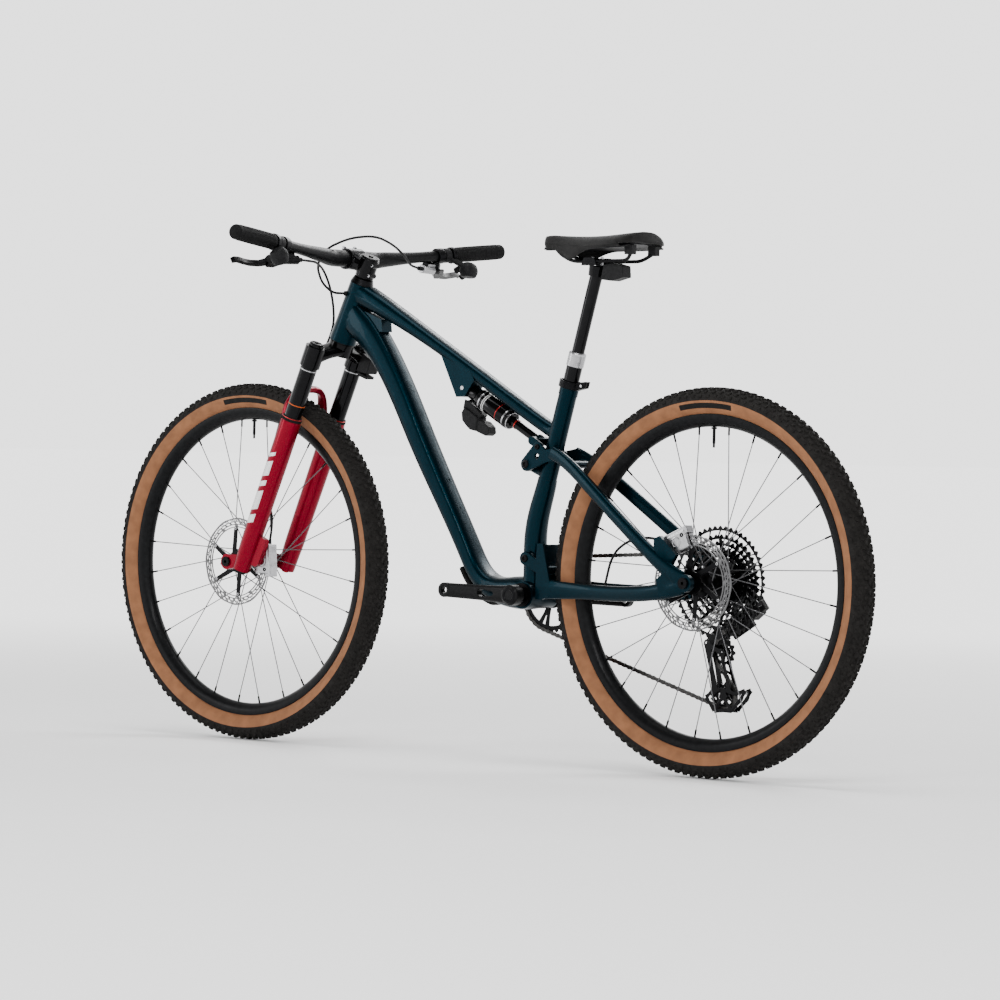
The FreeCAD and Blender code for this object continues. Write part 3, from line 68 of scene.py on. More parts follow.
def steer(s, n, y=0.0):
    """Point S mm up the steering axis, N mm ahead of it and Y mm to the left."""
    return BASE + UP * (s * MM) + FWD * (n * MM) + Vector((0, y * MM, 0))


# ---- camera, light, floor
def make_camera():
    """Long-lens camera, low, to the left of the rear wheel."""
    data = bpy.data.cameras.new("camera")
    cam = bpy.data.objects.new("camera", data)
    bpy.context.scene.collection.objects.link(cam)
    yaw, pitch, roll = (math.radians(a) for a in (-49.753, -0.768, 1.177))
    f = Vector((math.cos(yaw) * math.cos(pitch), math.sin(yaw) * math.cos(pitch), math.sin(pitch)))
    r = f.cross(Vector((0, 0, 1))).normalized()
    u = r.cross(f)
    r2 = r * math.cos(roll) + u * math.sin(roll)
    u2 = u * math.cos(roll) - r * math.sin(roll)
    rot = Matrix((r2, u2, -f)).transposed().to_4x4()
    cam.matrix_world = Matrix.Translation(Vector((-5.2174, 6.0774, 0.6177))) @ rot
    data.lens, data.sensor_width = 146.12, 36
    data.dof.use_dof = False
    data.clip_start, data.clip_end = 0.1, 200
    bpy.context.scene.camera = cam


def area_light(name, where, target, size, power):
    """Softbox at WHERE that faces TARGET."""
    data = bpy.data.lights.new(name, "AREA")
    data.shape, data.size, data.size_y = "RECTANGLE", size[0], size[1]
    data.energy = power
    ob = bpy.data.objects.new(name, data)
    bpy.context.scene.collection.objects.link(ob)
    ob.location = where
    ob.rotation_euler = (Vector(target) - Vector(where)).to_track_quat("-Z", "Y").to_euler()


def feed(nt, socket, value):
    """Drive an input by another node's output, or set it to a constant."""
    if isinstance(value, bpy.types.NodeSocket):
        nt.links.new(value, socket)
    else:
        socket.default_value = value


def new_node(nt, kind, inputs, **settings):
    """Shader node with its settings and its inputs, by name or number."""
    node = nt.nodes.new("ShaderNode" + kind)
    for key, value in settings.items():
        setattr(node, key, value)
    for key, value in inputs.items():
        feed(nt, node.inputs[key], value)
    return node


def math_node(nt, kind, a, b):
    """Result of a two-input Math or Vector Math node."""
    family = "VectorMath" if kind == "DOT_PRODUCT" else "Math"
    return new_node(nt, family, {0: a, 1: b}, operation=kind).outputs["Value"]


def ramp_node(nt, value, low, high, at_low, at_high):
    """Smooth change from one value to another."""
    inputs = {"Value": value, "From Min": low, "From Max": high, "To Min": at_low, "To Max": at_high}
    return new_node(nt, "MapRange", inputs, interpolation_type="SMOOTHSTEP").outputs["Result"]


HORIZON = 2.4
FLOOR_HALF, FLOOR_Z = 400, -0.0006
FADE_FROM, FADE_TO = 0.9, 6.5


def make_stage():
    """White sweep: a bright horizon and backdrop, a darker room behind the camera, four softboxes."""
    world = bpy.data.worlds.new("studio")
    bpy.context.scene.world = world
    world.use_nodes = True
    nt = world.node_tree
    bg = nt.nodes["Background"]
    bg.inputs["Color"].default_value = (1, 1, 1, 1)
    ray = new_node(nt, "TexCoord", {}).outputs["Generated"]
    height = new_node(nt, "SeparateXYZ", {0: ray}).outputs["Z"]
    side = ramp_node(nt, math_node(nt, "DOT_PRODUCT", ray, (0.646, -0.763, 0)), -0.3, 0.8, 0.16, 1.2)
    feed(nt, bg.inputs["Strength"], ramp_node(nt, height, 0.13, 0.45, HORIZON, side))
    verts = [(x * FLOOR_HALF, y * FLOOR_HALF, FLOOR_Z) for x, y in ((-1, -1), (1, -1), (1, 1), (-1, 1))]
    me = bpy.data.meshes.new("floor")
    me.from_pydata(verts, [], [(0, 1, 2, 3)])
    floor = bpy.data.objects.new("floor", me)
    bpy.context.scene.collection.objects.link(floor)
    mat = bpy.data.materials.new("floor")
    mat.use_nodes = True
    nt = mat.node_tree
    spot = new_node(nt, "TexCoord", {}).outputs["Object"]
    away = new_node(nt, "VectorMath", {0: spot}, operation="LENGTH").outputs["Value"]
    far = ramp_node(nt, away, FADE_FROM, FADE_TO, 0.0, 1.0)
    for key, value in (("Roughness", 0.9), ("Specular IOR Level", 0.1), ("Emission Color", (1, 1, 1, 1)),
                       ("Emission Strength", math_node(nt, "MULTIPLY", far, HORIZON)),
                       ("Base Color", ramp_node(nt, away, FADE_FROM, FADE_TO, 0.93, 0.0))):
        feed(nt, nt.nodes["Principled BSDF"].inputs[key], value)
    me.materials.append(mat)
    area_light("key", (-2.6, 4.0, 3.4), (0, 0, 0.5), (3.0, 0.9), 170)
    area_light("fill", (3.6, 3.4, 2.0), (0.2, 0, 0.6), (1.0, 2.2), 60)
    area_light("back", (0.5, -3.6, 3.2), (0, 0, 0.6), (3.6, 0.8), 110)
    area_light("top", (0, 0.4, 4.0), (0, 0, 0.4), (3.4, 1.6), 110)


make_camera()
make_stage()


# ---- materials
def shade(name, base, rough, metal=0.0, coat=0.0, vary=0.15, rough_vary=0.08, scale=60.0,
          bump=0.0, bump_scale=600.0, stretch=None, extra=None, sheen=0.0, spec=0.5):
    """Node material: colour and roughness wander with noise, and a fine bump."""
    mat = bpy.data.materials.new(name)
    mat.use_nodes = True
    nt = mat.node_tree
    spot = source = new_node(nt, "TexCoord", {}).outputs["Object"]
    if stretch:
        source = new_node(nt, "Mapping", {"Vector": source, "Scale": stretch}).outputs[0]
    noise = new_node(nt, "TexNoise", {"Vector": source, "Scale": scale, "Detail": 4})
    ramp = new_node(nt, "ValToRGB", {0: noise.outputs[0]})
    colour = ramp.outputs[0]
    for stop, place, change in zip(ramp.color_ramp.elements, (0.3, 0.7), (1 - vary, 1 + vary)):
        stop.position = place
        stop.color = (*(min(1, c * change) for c in base), 1)
    if extra:
        colour = extra(nt, spot, colour)
    wander = new_node(nt, "TexNoise", {"Vector": source, "Scale": scale * 2.3}).outputs[0]
    spread = new_node(nt, "MapRange", {"Value": wander, "To Min": max(0.02, rough - rough_vary),
                                       "To Max": min(1.0, rough + rough_vary)})
    bsdf = nt.nodes["Principled BSDF"]
    for key, value in (("Base Color", colour), ("Roughness", spread.outputs[0]), ("Metallic", metal),
                       ("Coat Weight", coat), ("Coat Roughness", 0.04), ("Specular IOR Level", spec),
                       ("Sheen Weight", sheen)):
        feed(nt, bsdf.inputs[key], value)
    if bump:
        fine = new_node(nt, "TexNoise", {"Vector": source, "Scale": bump_scale, "Detail": 6}).outputs[0]
        relief = new_node(nt, "Bump", {"Strength": bump, "Distance": 0.0006, "Height": fine})
        feed(nt, bsdf.inputs["Normal"], relief.outputs[0])
    return mat


def band_mask(nt, vector, direction, bands):
    """1 where the distance along a direction falls in one of the bands, metres."""
    along = math_node(nt, "DOT_PRODUCT", vector, direction)
    total = 0.0
    for low, high in bands:
        both = math_node(nt, "MULTIPLY", math_node(nt, "GREATER_THAN", along, low),
                         math_node(nt, "LESS_THAN", along, high))
        total = math_node(nt, "MAXIMUM", total, both)
    return total


def mixed(nt, mask, colour, other):
    """COLOUR, or OTHER where the mask is 1."""
    return new_node(nt, "Mix", {"Factor": mask, 6: colour, 7: (*other, 1)}, data_type="RGBA").outputs[2]


STRIPES = ((96, 112), (122, 158), (168, 178), (188, 216), (226, 233))


def fork_stripes(nt, vector, colour):
    """Slanted white bars, STRIPES mm along the front of the left leg's outer face."""
    slant = (UP + FWD * 0.55).normalized()
    start, ahead = slant.dot(steer(0, 0)), FWD.dot(steer(0, LEG_FWD))
    bars = band_mask(nt, vector, slant, [(start + a * MM, start + b * MM) for a, b in STRIPES])
    outer = band_mask(nt, vector, (0, 1, 0), [(0.0705, 0.12)])
    front_half = band_mask(nt, vector, FWD, [(ahead - 0.006, ahead + 0.04)])
    mask = math_node(nt, "MULTIPLY", math_node(nt, "MULTIPLY", bars, outer), front_half)
    return mixed(nt, mask, colour, (0.62, 0.62, 0.62))


M = {
    "frame": shade("frame_paint", (0.0001, 0.0085, 0.0135), 0.33, metal=0.75, coat=0.05, vary=0.35, scale=700,
                   rough_vary=0.05, spec=0.03),
    "fork": shade("fork_paint", (0.165, 0.0001, 0.0105), 0.28, metal=0.5, coat=0.08, vary=0.14, scale=400,
                  bump=0.02, bump_scale=80, extra=fork_stripes, rough_vary=0.05, spec=0.05),
    "black": shade("anodised_black", (0.0060, 0.0060, 0.0066), 0.34, metal=0.9, vary=0.25, scale=140,
                   bump=0.08, bump_scale=900, spec=0.12),
    "gloss": shade("gloss_black", (0.0044, 0.0044, 0.0050), 0.17, metal=0.8, coat=0.10, vary=0.2, scale=90,
                   bump=0.02, bump_scale=200, rough_vary=0.05, spec=0.12),
    "carbon": shade("satin_carbon", (0.0055, 0.0056, 0.0060), 0.42, metal=0.5, coat=0.02, vary=0.35,
                    scale=220, bump=0.1, bump_scale=700, spec=0.10),
    "rim": shade("rim_carbon", (0.0055, 0.0057, 0.0062), 0.4, metal=0.5, coat=0.02, vary=0.3, scale=120,
                 bump=0.06, bump_scale=500, spec=0.08),
    "tread": shade("tread_rubber", (0.0110, 0.0102, 0.0096), 0.78, vary=0.3, scale=90, bump=0.5,
                   bump_scale=900, spec=0.07),
    "tan": shade("tan_sidewall", (0.205, 0.088, 0.040), 0.7, vary=0.16, scale=45, bump=0.35, bump_scale=1400,
                 spec=0.15),
    "patch": shade("sidewall_patch", (0.0066, 0.0063, 0.0060), 0.6, vary=0.2, scale=60, bump=0.3,
                   bump_scale=900, spec=0.08),
    "spoke": shade("dark_steel", (0.10, 0.10, 0.105), 0.3, metal=0.9, vary=0.2, scale=300, bump=0.05),
    "steel": shade("brushed_steel", (0.10, 0.10, 0.102), 0.3, metal=1.0, scale=90, bump=0.25,
                   bump_scale=500, stretch=(1, 8, 1)),
    "silver": shade("satin_silver", (0.34, 0.34, 0.35), 0.3, metal=0.95, vary=0.08, scale=120, bump=0.08,
                    bump_scale=900),
    "bolt": shade("bolt_steel", (0.32, 0.32, 0.33), 0.27, metal=1.0, scale=400, bump=0.1),
    "rubber": shade("grip_rubber", (0.0058, 0.0058, 0.0060), 0.66, vary=0.3, scale=160, bump=0.5,
                    bump_scale=1100, spec=0.06),
    "hose": shade("hose_jacket", (0.0044, 0.0044, 0.0050), 0.42, vary=0.3, scale=200, bump=0.15, spec=0.10),
    "plastic": shade("fine_grain_plastic", (0.0069, 0.0069, 0.0074), 0.5, vary=0.25, scale=180, bump=0.3,
                     bump_scale=1500, spec=0.08),
    "skin": shade("saddle_skin", (0.0069, 0.0067, 0.0066), 0.55, vary=0.3, scale=90, bump=0.45,
                  bump_scale=1700, sheen=0.04, spec=0.07),
    "chain": shade("chain_black", (0.035, 0.034, 0.033), 0.32, metal=0.9, vary=0.35, scale=250, bump=0.1),
    "red": shade("red_anodised", (0.30, 0.008, 0.008), 0.3, metal=0.6, scale=200, bump=0.05),
    "orange": shade("orange_seal", (0.42, 0.07, 0.008), 0.5, scale=200, bump=0.05, spec=0.2),
    "pad": shade("pad_backing", (0.20, 0.14, 0.08), 0.55, metal=0.6, vary=0.3, scale=300, bump=0.4),
    "white": shade("white_print", (0.50, 0.50, 0.50), 0.45, vary=0.05, scale=200, bump=0.03, spec=0.2),
}


# ---- mesh helpers
def smooth_mesh(ob, angle):
    """Smooth faces, with edges over ANGLE degrees kept sharp."""
    for p in ob.data.polygons:
        p.use_smooth = True
    if angle < 180:
        ob.data.set_sharp_from_angle(angle=math.radians(angle))


def finish_mesh(ob, body, angle=35):
    """Shading and body of a finished piece."""
    smooth_mesh(ob, angle)
    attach(ob, body)
    return ob


def new_object(name, verts, faces, mats, outward=True):
    """New object from plain lists; OUTWARD turns its faces to the outside."""
    me = bpy.data.meshes.new(name)
    me.from_pydata([tuple(v) for v in verts], [], faces)
    if outward:
        bm = bmesh.new()
        bm.from_mesh(me)
        bmesh.ops.recalc_face_normals(bm, faces=bm.faces)
        bm.to_mesh(me)
        bm.free()
    for m in mats if isinstance(mats, list) else [mats]:
        me.materials.append(m)
    ob = bpy.data.objects.new(name, me)
    bpy.context.scene.collection.objects.link(ob)
    return ob


def made(name, verts, faces, mats, body, slot, angle=35, material_of=None, place=None, node=None):
    """Finished piece from plain lists, at PLACE, with a material number per face; it can replace a NODE."""
    ob = new_object(name, verts, faces, mats)
    for p, k in zip(ob.data.polygons, material_of or []):
        p.material_index = k
    if place is not None:
        ob.location = place
    finish_mesh(ob, body, angle)
    if node:
        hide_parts(node)
    return ob


def loop_faces(count, ring, start=0, wrap=False):
    """Quads between COUNT loops of RING points: a closed turn with WRAP, or a tube with end caps."""
    faces = []
    for i in range(count if wrap else count - 1):
        a, b = start + i * ring, start + (i + 1) % count * ring
        faces += [(a + k, a + (k + 1) % ring, b + (k + 1) % ring, b + k) for k in range(ring)]
    if not wrap:
        last = start + (count - 1) * ring
        faces += [tuple(reversed(range(start, start + ring))), tuple(range(last, last + ring))]
    return faces


ISLANDS = {}


def islands(node):
    """The node's solids: (low corner, high corner, vertices, faces)."""
    if node in ISLANDS:
        return ISLANDS[node]
    bm = bmesh.new()
    bm.from_mesh(NODES[node].data)
    bmesh.ops.remove_doubles(bm, verts=bm.verts, dist=2e-6)
    bm.verts.index_update()
    seen, found = set(), []
    for v in bm.verts:
        if v.index in seen:
            continue
        stack, group = [v], []
        seen.add(v.index)
        while stack:
            w = stack.pop()
            group.append(w)
            for e in w.link_edges:
                o = e.other_vert(w)
                if o.index not in seen:
                    seen.add(o.index)
                    stack.append(o)
        number = {w.index: i for i, w in enumerate(group)}
        faces = {f.index: [number[c.index] for c in f.verts] for w in group for f in w.link_faces}
        co = [w.co.copy() for w in group]
        low = Vector([min(c[i] for c in co) for i in range(3)]) / MM
        high = Vector([max(c[i] for c in co) for i in range(3)]) / MM
        found.append((low, high, co, list(faces.values())))
    bm.free()
    ISLANDS[node] = found
    return found


def remeshed(ob, voxel, blur):
    """The object's mesh rebuilt from voxels (mm), edges and joints rounded by BLUR passes."""
    mod = ob.modifiers.new("remesh", "REMESH")
    mod.mode, mod.voxel_size, mod.use_smooth_shade = "VOXEL", voxel * 1 * MM, True
    if blur:
        soft = ob.modifiers.new("soft", "SMOOTH")
        soft.factor, soft.iterations = 0.5, blur
    dg = bpy.context.evaluated_depsgraph_get()
    done = bpy.data.meshes.new_from_object(ob.evaluated_get(dg))
    ob.modifiers.clear()
    if not done.materials:
        done.materials.append(ob.data.materials[0])
    ob.data = done


def from_cad(name, node, mat, keep=None, voxel=0.0, blur=0, angle=35, replaces=True):
    """A finished look for one CAD node, or for those of its solids that KEEP picks.

    With VOXEL (mm) the shape is remeshed and its edges and joints are rounded by BLUR passes."""
    verts, faces = [], []
    for low, high, co, fs in islands(node):
        if keep is None or keep(low, high):
            n = len(verts)
            verts += co
            faces += [[i + n for i in f] for f in fs]
    ob = new_object(name, verts, faces, mat, outward=False)
    if voxel:
        remeshed(ob, voxel, blur)
        angle = 180
    finish_mesh(ob, BODY_OF[node], angle)
    if replaces:
        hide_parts(node)
    return ob


def over(axis, size):
    """Picks the solids that measure more than SIZE mm along an axis."""
    return lambda lo, hi: getattr(hi - lo, axis) > size


def under(axis, size):
    """Picks the solids that measure at most SIZE mm along an axis."""
    return lambda lo, hi: getattr(hi - lo, axis) <= size


def split_cad(node, *rows):
    """Looks for the solids of one node: rows of (name, material, keep, more); the first replaces the node."""
    for i, (name, mat, keep, *more) in enumerate(rows):
        from_cad(name, node, M[mat], keep, replaces=i == 0, **(more[0] if more else {}))


def turns(count, start=0.0):
    """Angles of COUNT equal steps of a full turn."""
    return [start + 2 * math.pi * k / count for k in range(count)]


def frame_at(axis, hint=Vector((0, 1, 0))):
    """Matrix whose Z column runs along an axis."""
    z = axis.normalized()
    x = hint.cross(z)
    if x.length < 1e-4:
        x = Vector((1, 0, 0)).cross(z)
    x.normalize()
    return Matrix((x, z.cross(x), z)).transposed()


def lathe(name, centre, axis, profile, mat, body, slot, steps=48):
    """Closed profile of (radius, height) points in mm, turned about an axis."""
    m = frame_at(Vector(axis))
    verts = [Vector(centre) + m @ Vector((r * math.cos(a), r * math.sin(a), h)) * MM
             for a in turns(steps) for r, h in profile]
    return made(name, verts, loop_faces(steps, len(profile), wrap=True), mat, body, slot)


def bolt_head(name, centre, axis, r, body, mat=None, height=None, slot="silver_metal"):
    """Domed socket head with a hexagonal recess."""
    h = height or r * 0.8
    m = frame_at(Vector(axis))
    rings = [(r, 0, 24), (r, h * 0.62, 24), (r * 0.93, h * 0.88, 24), (r * 0.80, h, 24), (r * 0.52, h, 6),
             (r * 0.50, h * 0.35, 6)]
    verts = []
    for radius, up, sides in rings:
        for a in turns(24):
            rr = radius
            if sides == 6:
                local = (a + math.pi / 6) % (math.pi / 3) - math.pi / 6
                rr = radius * math.cos(math.pi / 6) / math.cos(local)
            verts.append(Vector(centre) + m @ Vector((rr * math.cos(a), rr * math.sin(a), up)) * MM)
    return made(name, verts, loop_faces(len(rings), 24), mat or M["bolt"], body, slot, 30)


def sweep(path, radius, steps=12):
    """Tube vertices and faces round a list of points."""
    verts, n, side = [], len(path), None
    for i, p in enumerate(path):
        d = (path[min(i + 1, n - 1)] - path[max(i - 1, 0)]).normalized()
        if side is None:
            side = d.cross(Vector((0.2, 0.1, 1))).normalized()
        side = (side - d * side.dot(d)).normalized()
        up = d.cross(side)
        r = radius[i] if isinstance(radius, list) else radius
        verts += [p + (side * math.cos(a) + up * math.sin(a)) * r for a in turns(steps)]
    return verts, loop_faces(n, steps)


# ---- hoses
def hose_path(points):
    """Straight runs joined by tangent arcs, as points a few millimetres apart."""
    points = [Vector(p) * MM for p in points]
    path = [points[0]]
    for before, corner, after in zip(points, points[1:], points[2:]):
        d_in, d_out = (corner - before).normalized(), (after - corner).normalized()
        trim = 0.45 * min((corner - before).length, (after - corner).length)
        half = math.acos(max(-1, min(1, d_in.dot(d_out)))) / 2
        first, last = corner - d_in * trim, corner + d_out * trim
        centre = corner + (d_out - d_in).normalized() * (trim / math.sin(half))
        path.append(first)
        for k in range(1, 8):
            t = k / 8
            q = first.lerp(last, t)
            out = (q - centre).normalized()
            path.append(centre + out * (first - centre).length)
        path.append(last)
    path.append(points[-1])
    fine = [path[0]]
    for a, b in zip(path, path[1:]):
        steps = max(1, int((b - a).length / 0.004))
        fine += [a.lerp(b, (k + 1) / steps) for k in range(steps)]
    return fine


REAR_HOSE = [(-383, 51.5, 357), (-388, 51, 378), (-394, 50, 402), (-408, 49.5, 424),
             (-432, 49, 440), (-464, 50, 449), (-498, 54, 449.5), (-526.4, 58, 443.5)]
BAR_REAR_HOSE = [(308.3, -175.9, 978.5), (304, -146, 983), (286, -108, 1000), (276, -62, 1020),
                 (280, -12, 1036), (310, 32, 1030), (346, 62, 1008), (360, 76, 974),
                 (351, 68, 937.5), (340, 46.9, 918.6), (329.2, 25.4, 918.6)]
FRONT_HOSE = [(308.3, 175.9, 978.5), (316, 146, 978), (334, 104, 978), (354, 62, 966),
              (366, 30, 938), (374, 8, 898), (384, -6, 856), (402, -4, 812),
              (424, 8, 770), (450, 24, 735), (470, 38, 700), (488, 39, 655), (504, 38, 610),
              (516, 37.5, 565), (520, 38, 525), (511, 40, 490), (499, 44, 462),
              (497, 47, 436), (501.6, 48, 407)]


def make_hose(name, points, node, bodies=None):
    """Hose through corner points, carried by the node's body; given BODIES, the two bodies it runs between,
    it is joined to neither.
    """
    path = hose_path(points)
    if bodies is None:
        ob = made(name, *sweep(path, 2.5 * MM), M["hose"], BODY_OF[node], "hose_black", 60)
    else:
        ob = new_object(name, *sweep(path, 2.5 * MM), M["hose"])
        smooth_mesh(ob, 60)
        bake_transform(ob)
    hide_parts(node)
    return ob


make_hose("rear_hose_run", REAR_HOSE, "rear_hose")
make_hose("bar_rear_hose_run", BAR_REAR_HOSE, "rear_hose_front", ("steering", "frame"))
make_hose("front_hose_run", FRONT_HOSE, "front_hose", ("steering", "fork_lowers"))


# ---- frame and rear end
from_cad("front_frame_shell", "front_frame", M["frame"], angle=50)
from_cad("rear_triangle_shell", "rear_triangle", M["frame"], angle=50)
from_cad("headset", "frame_bearings", M["black"])
split_cad("seat_collar",
          ("seat_collar_ring", "black", over("y", 25), {"voxel": 0.8, "blur": 2}),
          ("seat_collar_bolt", "bolt", under("y", 25)))
split_cad("dropper_outer_tube",
          ("dropper_lower", "gloss", over("z", 100)),
          ("dropper_lockring", "silver", under("z", 100)))
split_cad("frame_fittings",
          ("port_bezels", "plastic", lambda lo, hi: lo.z > 500, {"voxel": 0.6, "blur": 2}),
          ("chin_guard", "rubber", lambda lo, hi: hi.z < 500, {"voxel": 1.2, "blur": 4}))
from_cad("lower_link_body", "lower_link", M["frame"], voxel=0.9, blur=3)
from_cad("rocker_body", "rocker_link", M["frame"], voxel=0.9, blur=3)
from_cad("rear_through_axle", "rear_axle", M["black"])
PIVOTS = ((-170, 400, 7.5, 37.2), (-214, 378, 6.5, 37.2), (-163, 583, 8, 32), (-212, 598, 6, 30.1),
          (-190, 617, 5.5, 30.1))  # x, z, bolt radius, half width
for x, z, r, y in PIVOTS:
    for sign in (-1, 1):
        body = "lower_link" if z < 500 else "rocker"
        bolt_head("pivot_bolt_%d_%d" % (x, sign), (x * MM, sign * y * MM, z * MM), (0, sign, 0), r, body,
                  M["black"], 2.4 if z > 590 else 2.8, "black_metal")


# ---- shock
SHOCK_EYE = Vector((15.7, 0, 730)) * MM
SHOCK_DIR = (Vector((-190, 0, 617)) * MM - SHOCK_EYE).normalized()
split_cad("shock_can",
          ("shock_can_body", "gloss", lambda lo, hi: hi.y > 19 and hi.x - lo.x > 60),
          ("shock_trim", "silver", lambda lo, hi: hi.y > 19 and hi.x - lo.x < 60 or hi.x - lo.x < 12),
          ("shock_module", "plastic", lambda lo, hi: lo.z < 680 and hi.y < 19, {"voxel": 0.9, "blur": 5}))
split_cad("shock_shaft",
          ("shock_shaft_body", "gloss", lambda lo, hi: hi.y < 10 and hi.x - lo.x > 40),
          ("shock_travel_ring", "red", under("x", 20)),
          ("shock_yoke", "frame", lambda lo, hi: hi.y > 20, {"voxel": 0.9, "blur": 3}))
for d, r0, mat in ((60, 19.9, "white"), (64, 19.85, "white"), (100, 19.9, "red"), (131, 18.4, "silver")):
    lathe("shock_band_%d" % d, SHOCK_EYE + SHOCK_DIR * d * MM, SHOCK_DIR,
          [(r0 - 1.4, 0), (r0, 0), (r0, 1.6), (r0 - 1.4, 1.6)], M[mat], "shock_body", "shock_black", 64)


# ---- wheels
def revolve(profile, steps, material_of=None):
    """Profile of (radius, y) mm points, closed, turned about Y."""
    verts = [(r * MM * math.sin(a), y * MM, r * MM * math.cos(a)) for a in turns(steps) for r, y in profile]
    mats = [material_of(i, k) if material_of else 0 for k in range(steps) for i in range(len(profile))]
    return verts, loop_faces(steps, len(profile), wrap=True), mats


HALF_CASING = [(316.5, 12.2), (317.6, 14.6), (319.6, 17.4), (323.5, 20.9), (328, 23.7), (333, 25.9),
               (338, 27.4), (342.5, 28.2), (347, 28.2), (351.5, 27.0), (355.5, 24.4), (359, 20.4),
               (361.8, 15.2), (363.6, 9.6), (364.6, 4.6), (364.9, 0)]


def smooth_profile(points, per=2):
    """Catmull-Rom points between those given."""
    out = []
    n = len(points)
    for i in range(n - 1):
        p0, p1 = points[max(i - 1, 0)], points[i]
        p2, p3 = points[i + 1], points[min(i + 2, n - 1)]
        for k in range(per):
            t = k / per
            out.append(tuple(0.5 * (2 * p1[c] + (p2[c] - p0[c]) * t
                                    + (2 * p0[c] - 5 * p1[c] + 4 * p2[c] - p3[c]) * t * t
                                    + (3 * p1[c] - p0[c] - 3 * p2[c] + p3[c]) * t ** 3) for c in (0, 1)))
    out.append(points[-1])
    return out


def make_tyre(end):
    """Casing with tan sidewalls and a dark patch, and eight rows of knobs."""
    half = smooth_profile(HALF_CASING)
    inner = [(316.0, 10.8), (321, 14.4), (330, 22.2), (342, 25.6), (352, 24.4), (358, 17.6), (361.2, 8.0)]
    outer = half + [(r, -y) for r, y in reversed(half[:-1])]
    back = [(r, -y) for r, y in inner] + list(reversed(inner))
    profile = outer + back
    tan_edge = 342.0

    def which(i, k):
        """Material of one casing face: 0 tread, 1 tan sidewall, 2 dark patch."""
        r, y = profile[i]
        if i >= len(outer) or r > tan_edge:
            return 0
        turn = abs(((k + 180) % 360) - 180)
        if 326.5 < r < 337.5 and turn < 11 and y > 0:
            return 2
        return 1
    verts, faces, mats = revolve(profile, 360, which)
    rows = 126
    spots = [(365.0, 4.4, 0.0, 7.4, 6.0, 2.9, 0.0), (362.9, 13.2, 0.36, 7.0, 5.8, 2.9, 0.5),
             (357.8, 21.8, 0.80, 7.2, 5.8, 2.8, 0.0), (350.4, 27.0, 1.32, 6.0, 5.6, 2.0, 0.5)]
    for row in range(rows):
        for sign in (-1, 1):
            for r, y, lean, long_, wide, tall, phase in spots:
                shift = phase + (0.25 if sign > 0 else 0)
                a = 2 * math.pi * (row + shift) / rows
                nr, ny = math.cos(lean), math.sin(lean) * sign
                out = Vector((nr * math.sin(a), ny, nr * math.cos(a)))
                along = Vector((math.cos(a), 0, -math.sin(a)))
                across = out.cross(along)
                stretch = 1.18 if row % 2 else 0.86
                c = Vector((r * math.sin(a), y * sign, r * math.cos(a)))
                n = len(verts)
                for up, grow in ((-1.6, 1.12), (tall * 0.82, 0.96), (tall, 0.80)):
                    for u, w in ((-1, -1), (1, -1), (1, 1), (-1, 1)):
                        skew = 0.10 * long_ * w * sign
                        p = (c + out * up + along * (u * long_ / 2 * stretch * grow + skew)
                             + across * (w * wide / 2 * grow))
                        verts.append(tuple(p * MM))
                faces += loop_faces(3, 4, n)
                mats += [0] * 10
    made(end + "_tyre_tread", verts, faces, [M["tread"], M["tan"], M["patch"]], end + "_wheel",
         "tyre_rubber", 40, mats, AXLE[end], end + "_tyre")


def make_rim(end):
    """Hollow deep rim."""
    edge = [(317.4, 13.2), (317.6, 16.0), (316.2, 16.6), (311, 16.6), (305.5, 15.6), (300.5, 12.8),
            (296.4, 8.4), (294.0, 4.4), (293.2, 0)]
    half = smooth_profile(edge)
    bed = [(311.6, 0), (311.6, 6), (313.4, 8.2), (313.6, 12.2)]
    profile = half + [(r, -y) for r, y in reversed(half[:-1])] + [(r, -y) for r, y in reversed(bed)] + bed[1:]
    verts, faces, mats = revolve(profile, 240)
    made(end + "_rim_ring", verts, faces, M["rim"], end + "_wheel", "rim_black", 40, mats, AXLE[end],
         end + "_rim")


def gear_ring(teeth, pitch, r_in, y0, y1, depth=3.2, tip=2.6, per=8, narrow=0.55):
    """Flat toothed ring about Y: outline points outside, a circle inside."""
    verts = []
    n = teeth * per
    for k in range(n):
        a = 2 * math.pi * k / n
        t = (k % per) / per
        wave = 0.5 + 0.5 * math.cos(2 * math.pi * t)
        r = pitch - depth + (depth + tip) * wave ** 0.8
        thin = 0.35 * max(0, wave - 0.3) * (y1 - y0) * narrow
        for rr, y in ((r, y0 + thin), (r, y1 - thin), (r_in, y1), (r_in, y0)):
            verts.append((rr * MM * math.sin(a), y * MM, rr * MM * math.cos(a)))
    return verts, loop_faces(n, 4, wrap=True)


def bar_between(p, q, width, thick):
    """Tapered strut between two points (mm), wide along the turning direction."""
    p, q = Vector(p), Vector(q)
    d = (q - p).normalized()
    w = d.cross(Vector((0, 1, 0)))
    w = w.normalized() if w.length > 1e-3 else Vector((1, 0, 0))
    t = d.cross(w).normalized()
    verts = [tuple((c + w * (u * width / 2 * g) + t * (v * thick / 2)) * MM)
             for c, g in ((p, 1.15), (p.lerp(q, 0.5), 0.8), (q, 1.15))
             for u, v in ((-1, -1), (1, -1), (1, 1), (-1, 1))]
    return verts, loop_faces(3, 4)


def join_parts(parts):
    """One vertex and face list from many."""
    verts, faces = [], []
    for vs, fs in parts:
        n = len(verts)
        verts += vs
        faces += [tuple(i + n for i in f) for f in fs]
    return verts, faces


ROTOR_WALLS = {(1, 0): ((1, 0), (1, 1)), (-1, 0): ((0, 0), (0, 1)),
               (0, -1): ((0, 0), (1, 0)), (0, 1): ((0, 1), (1, 1))}


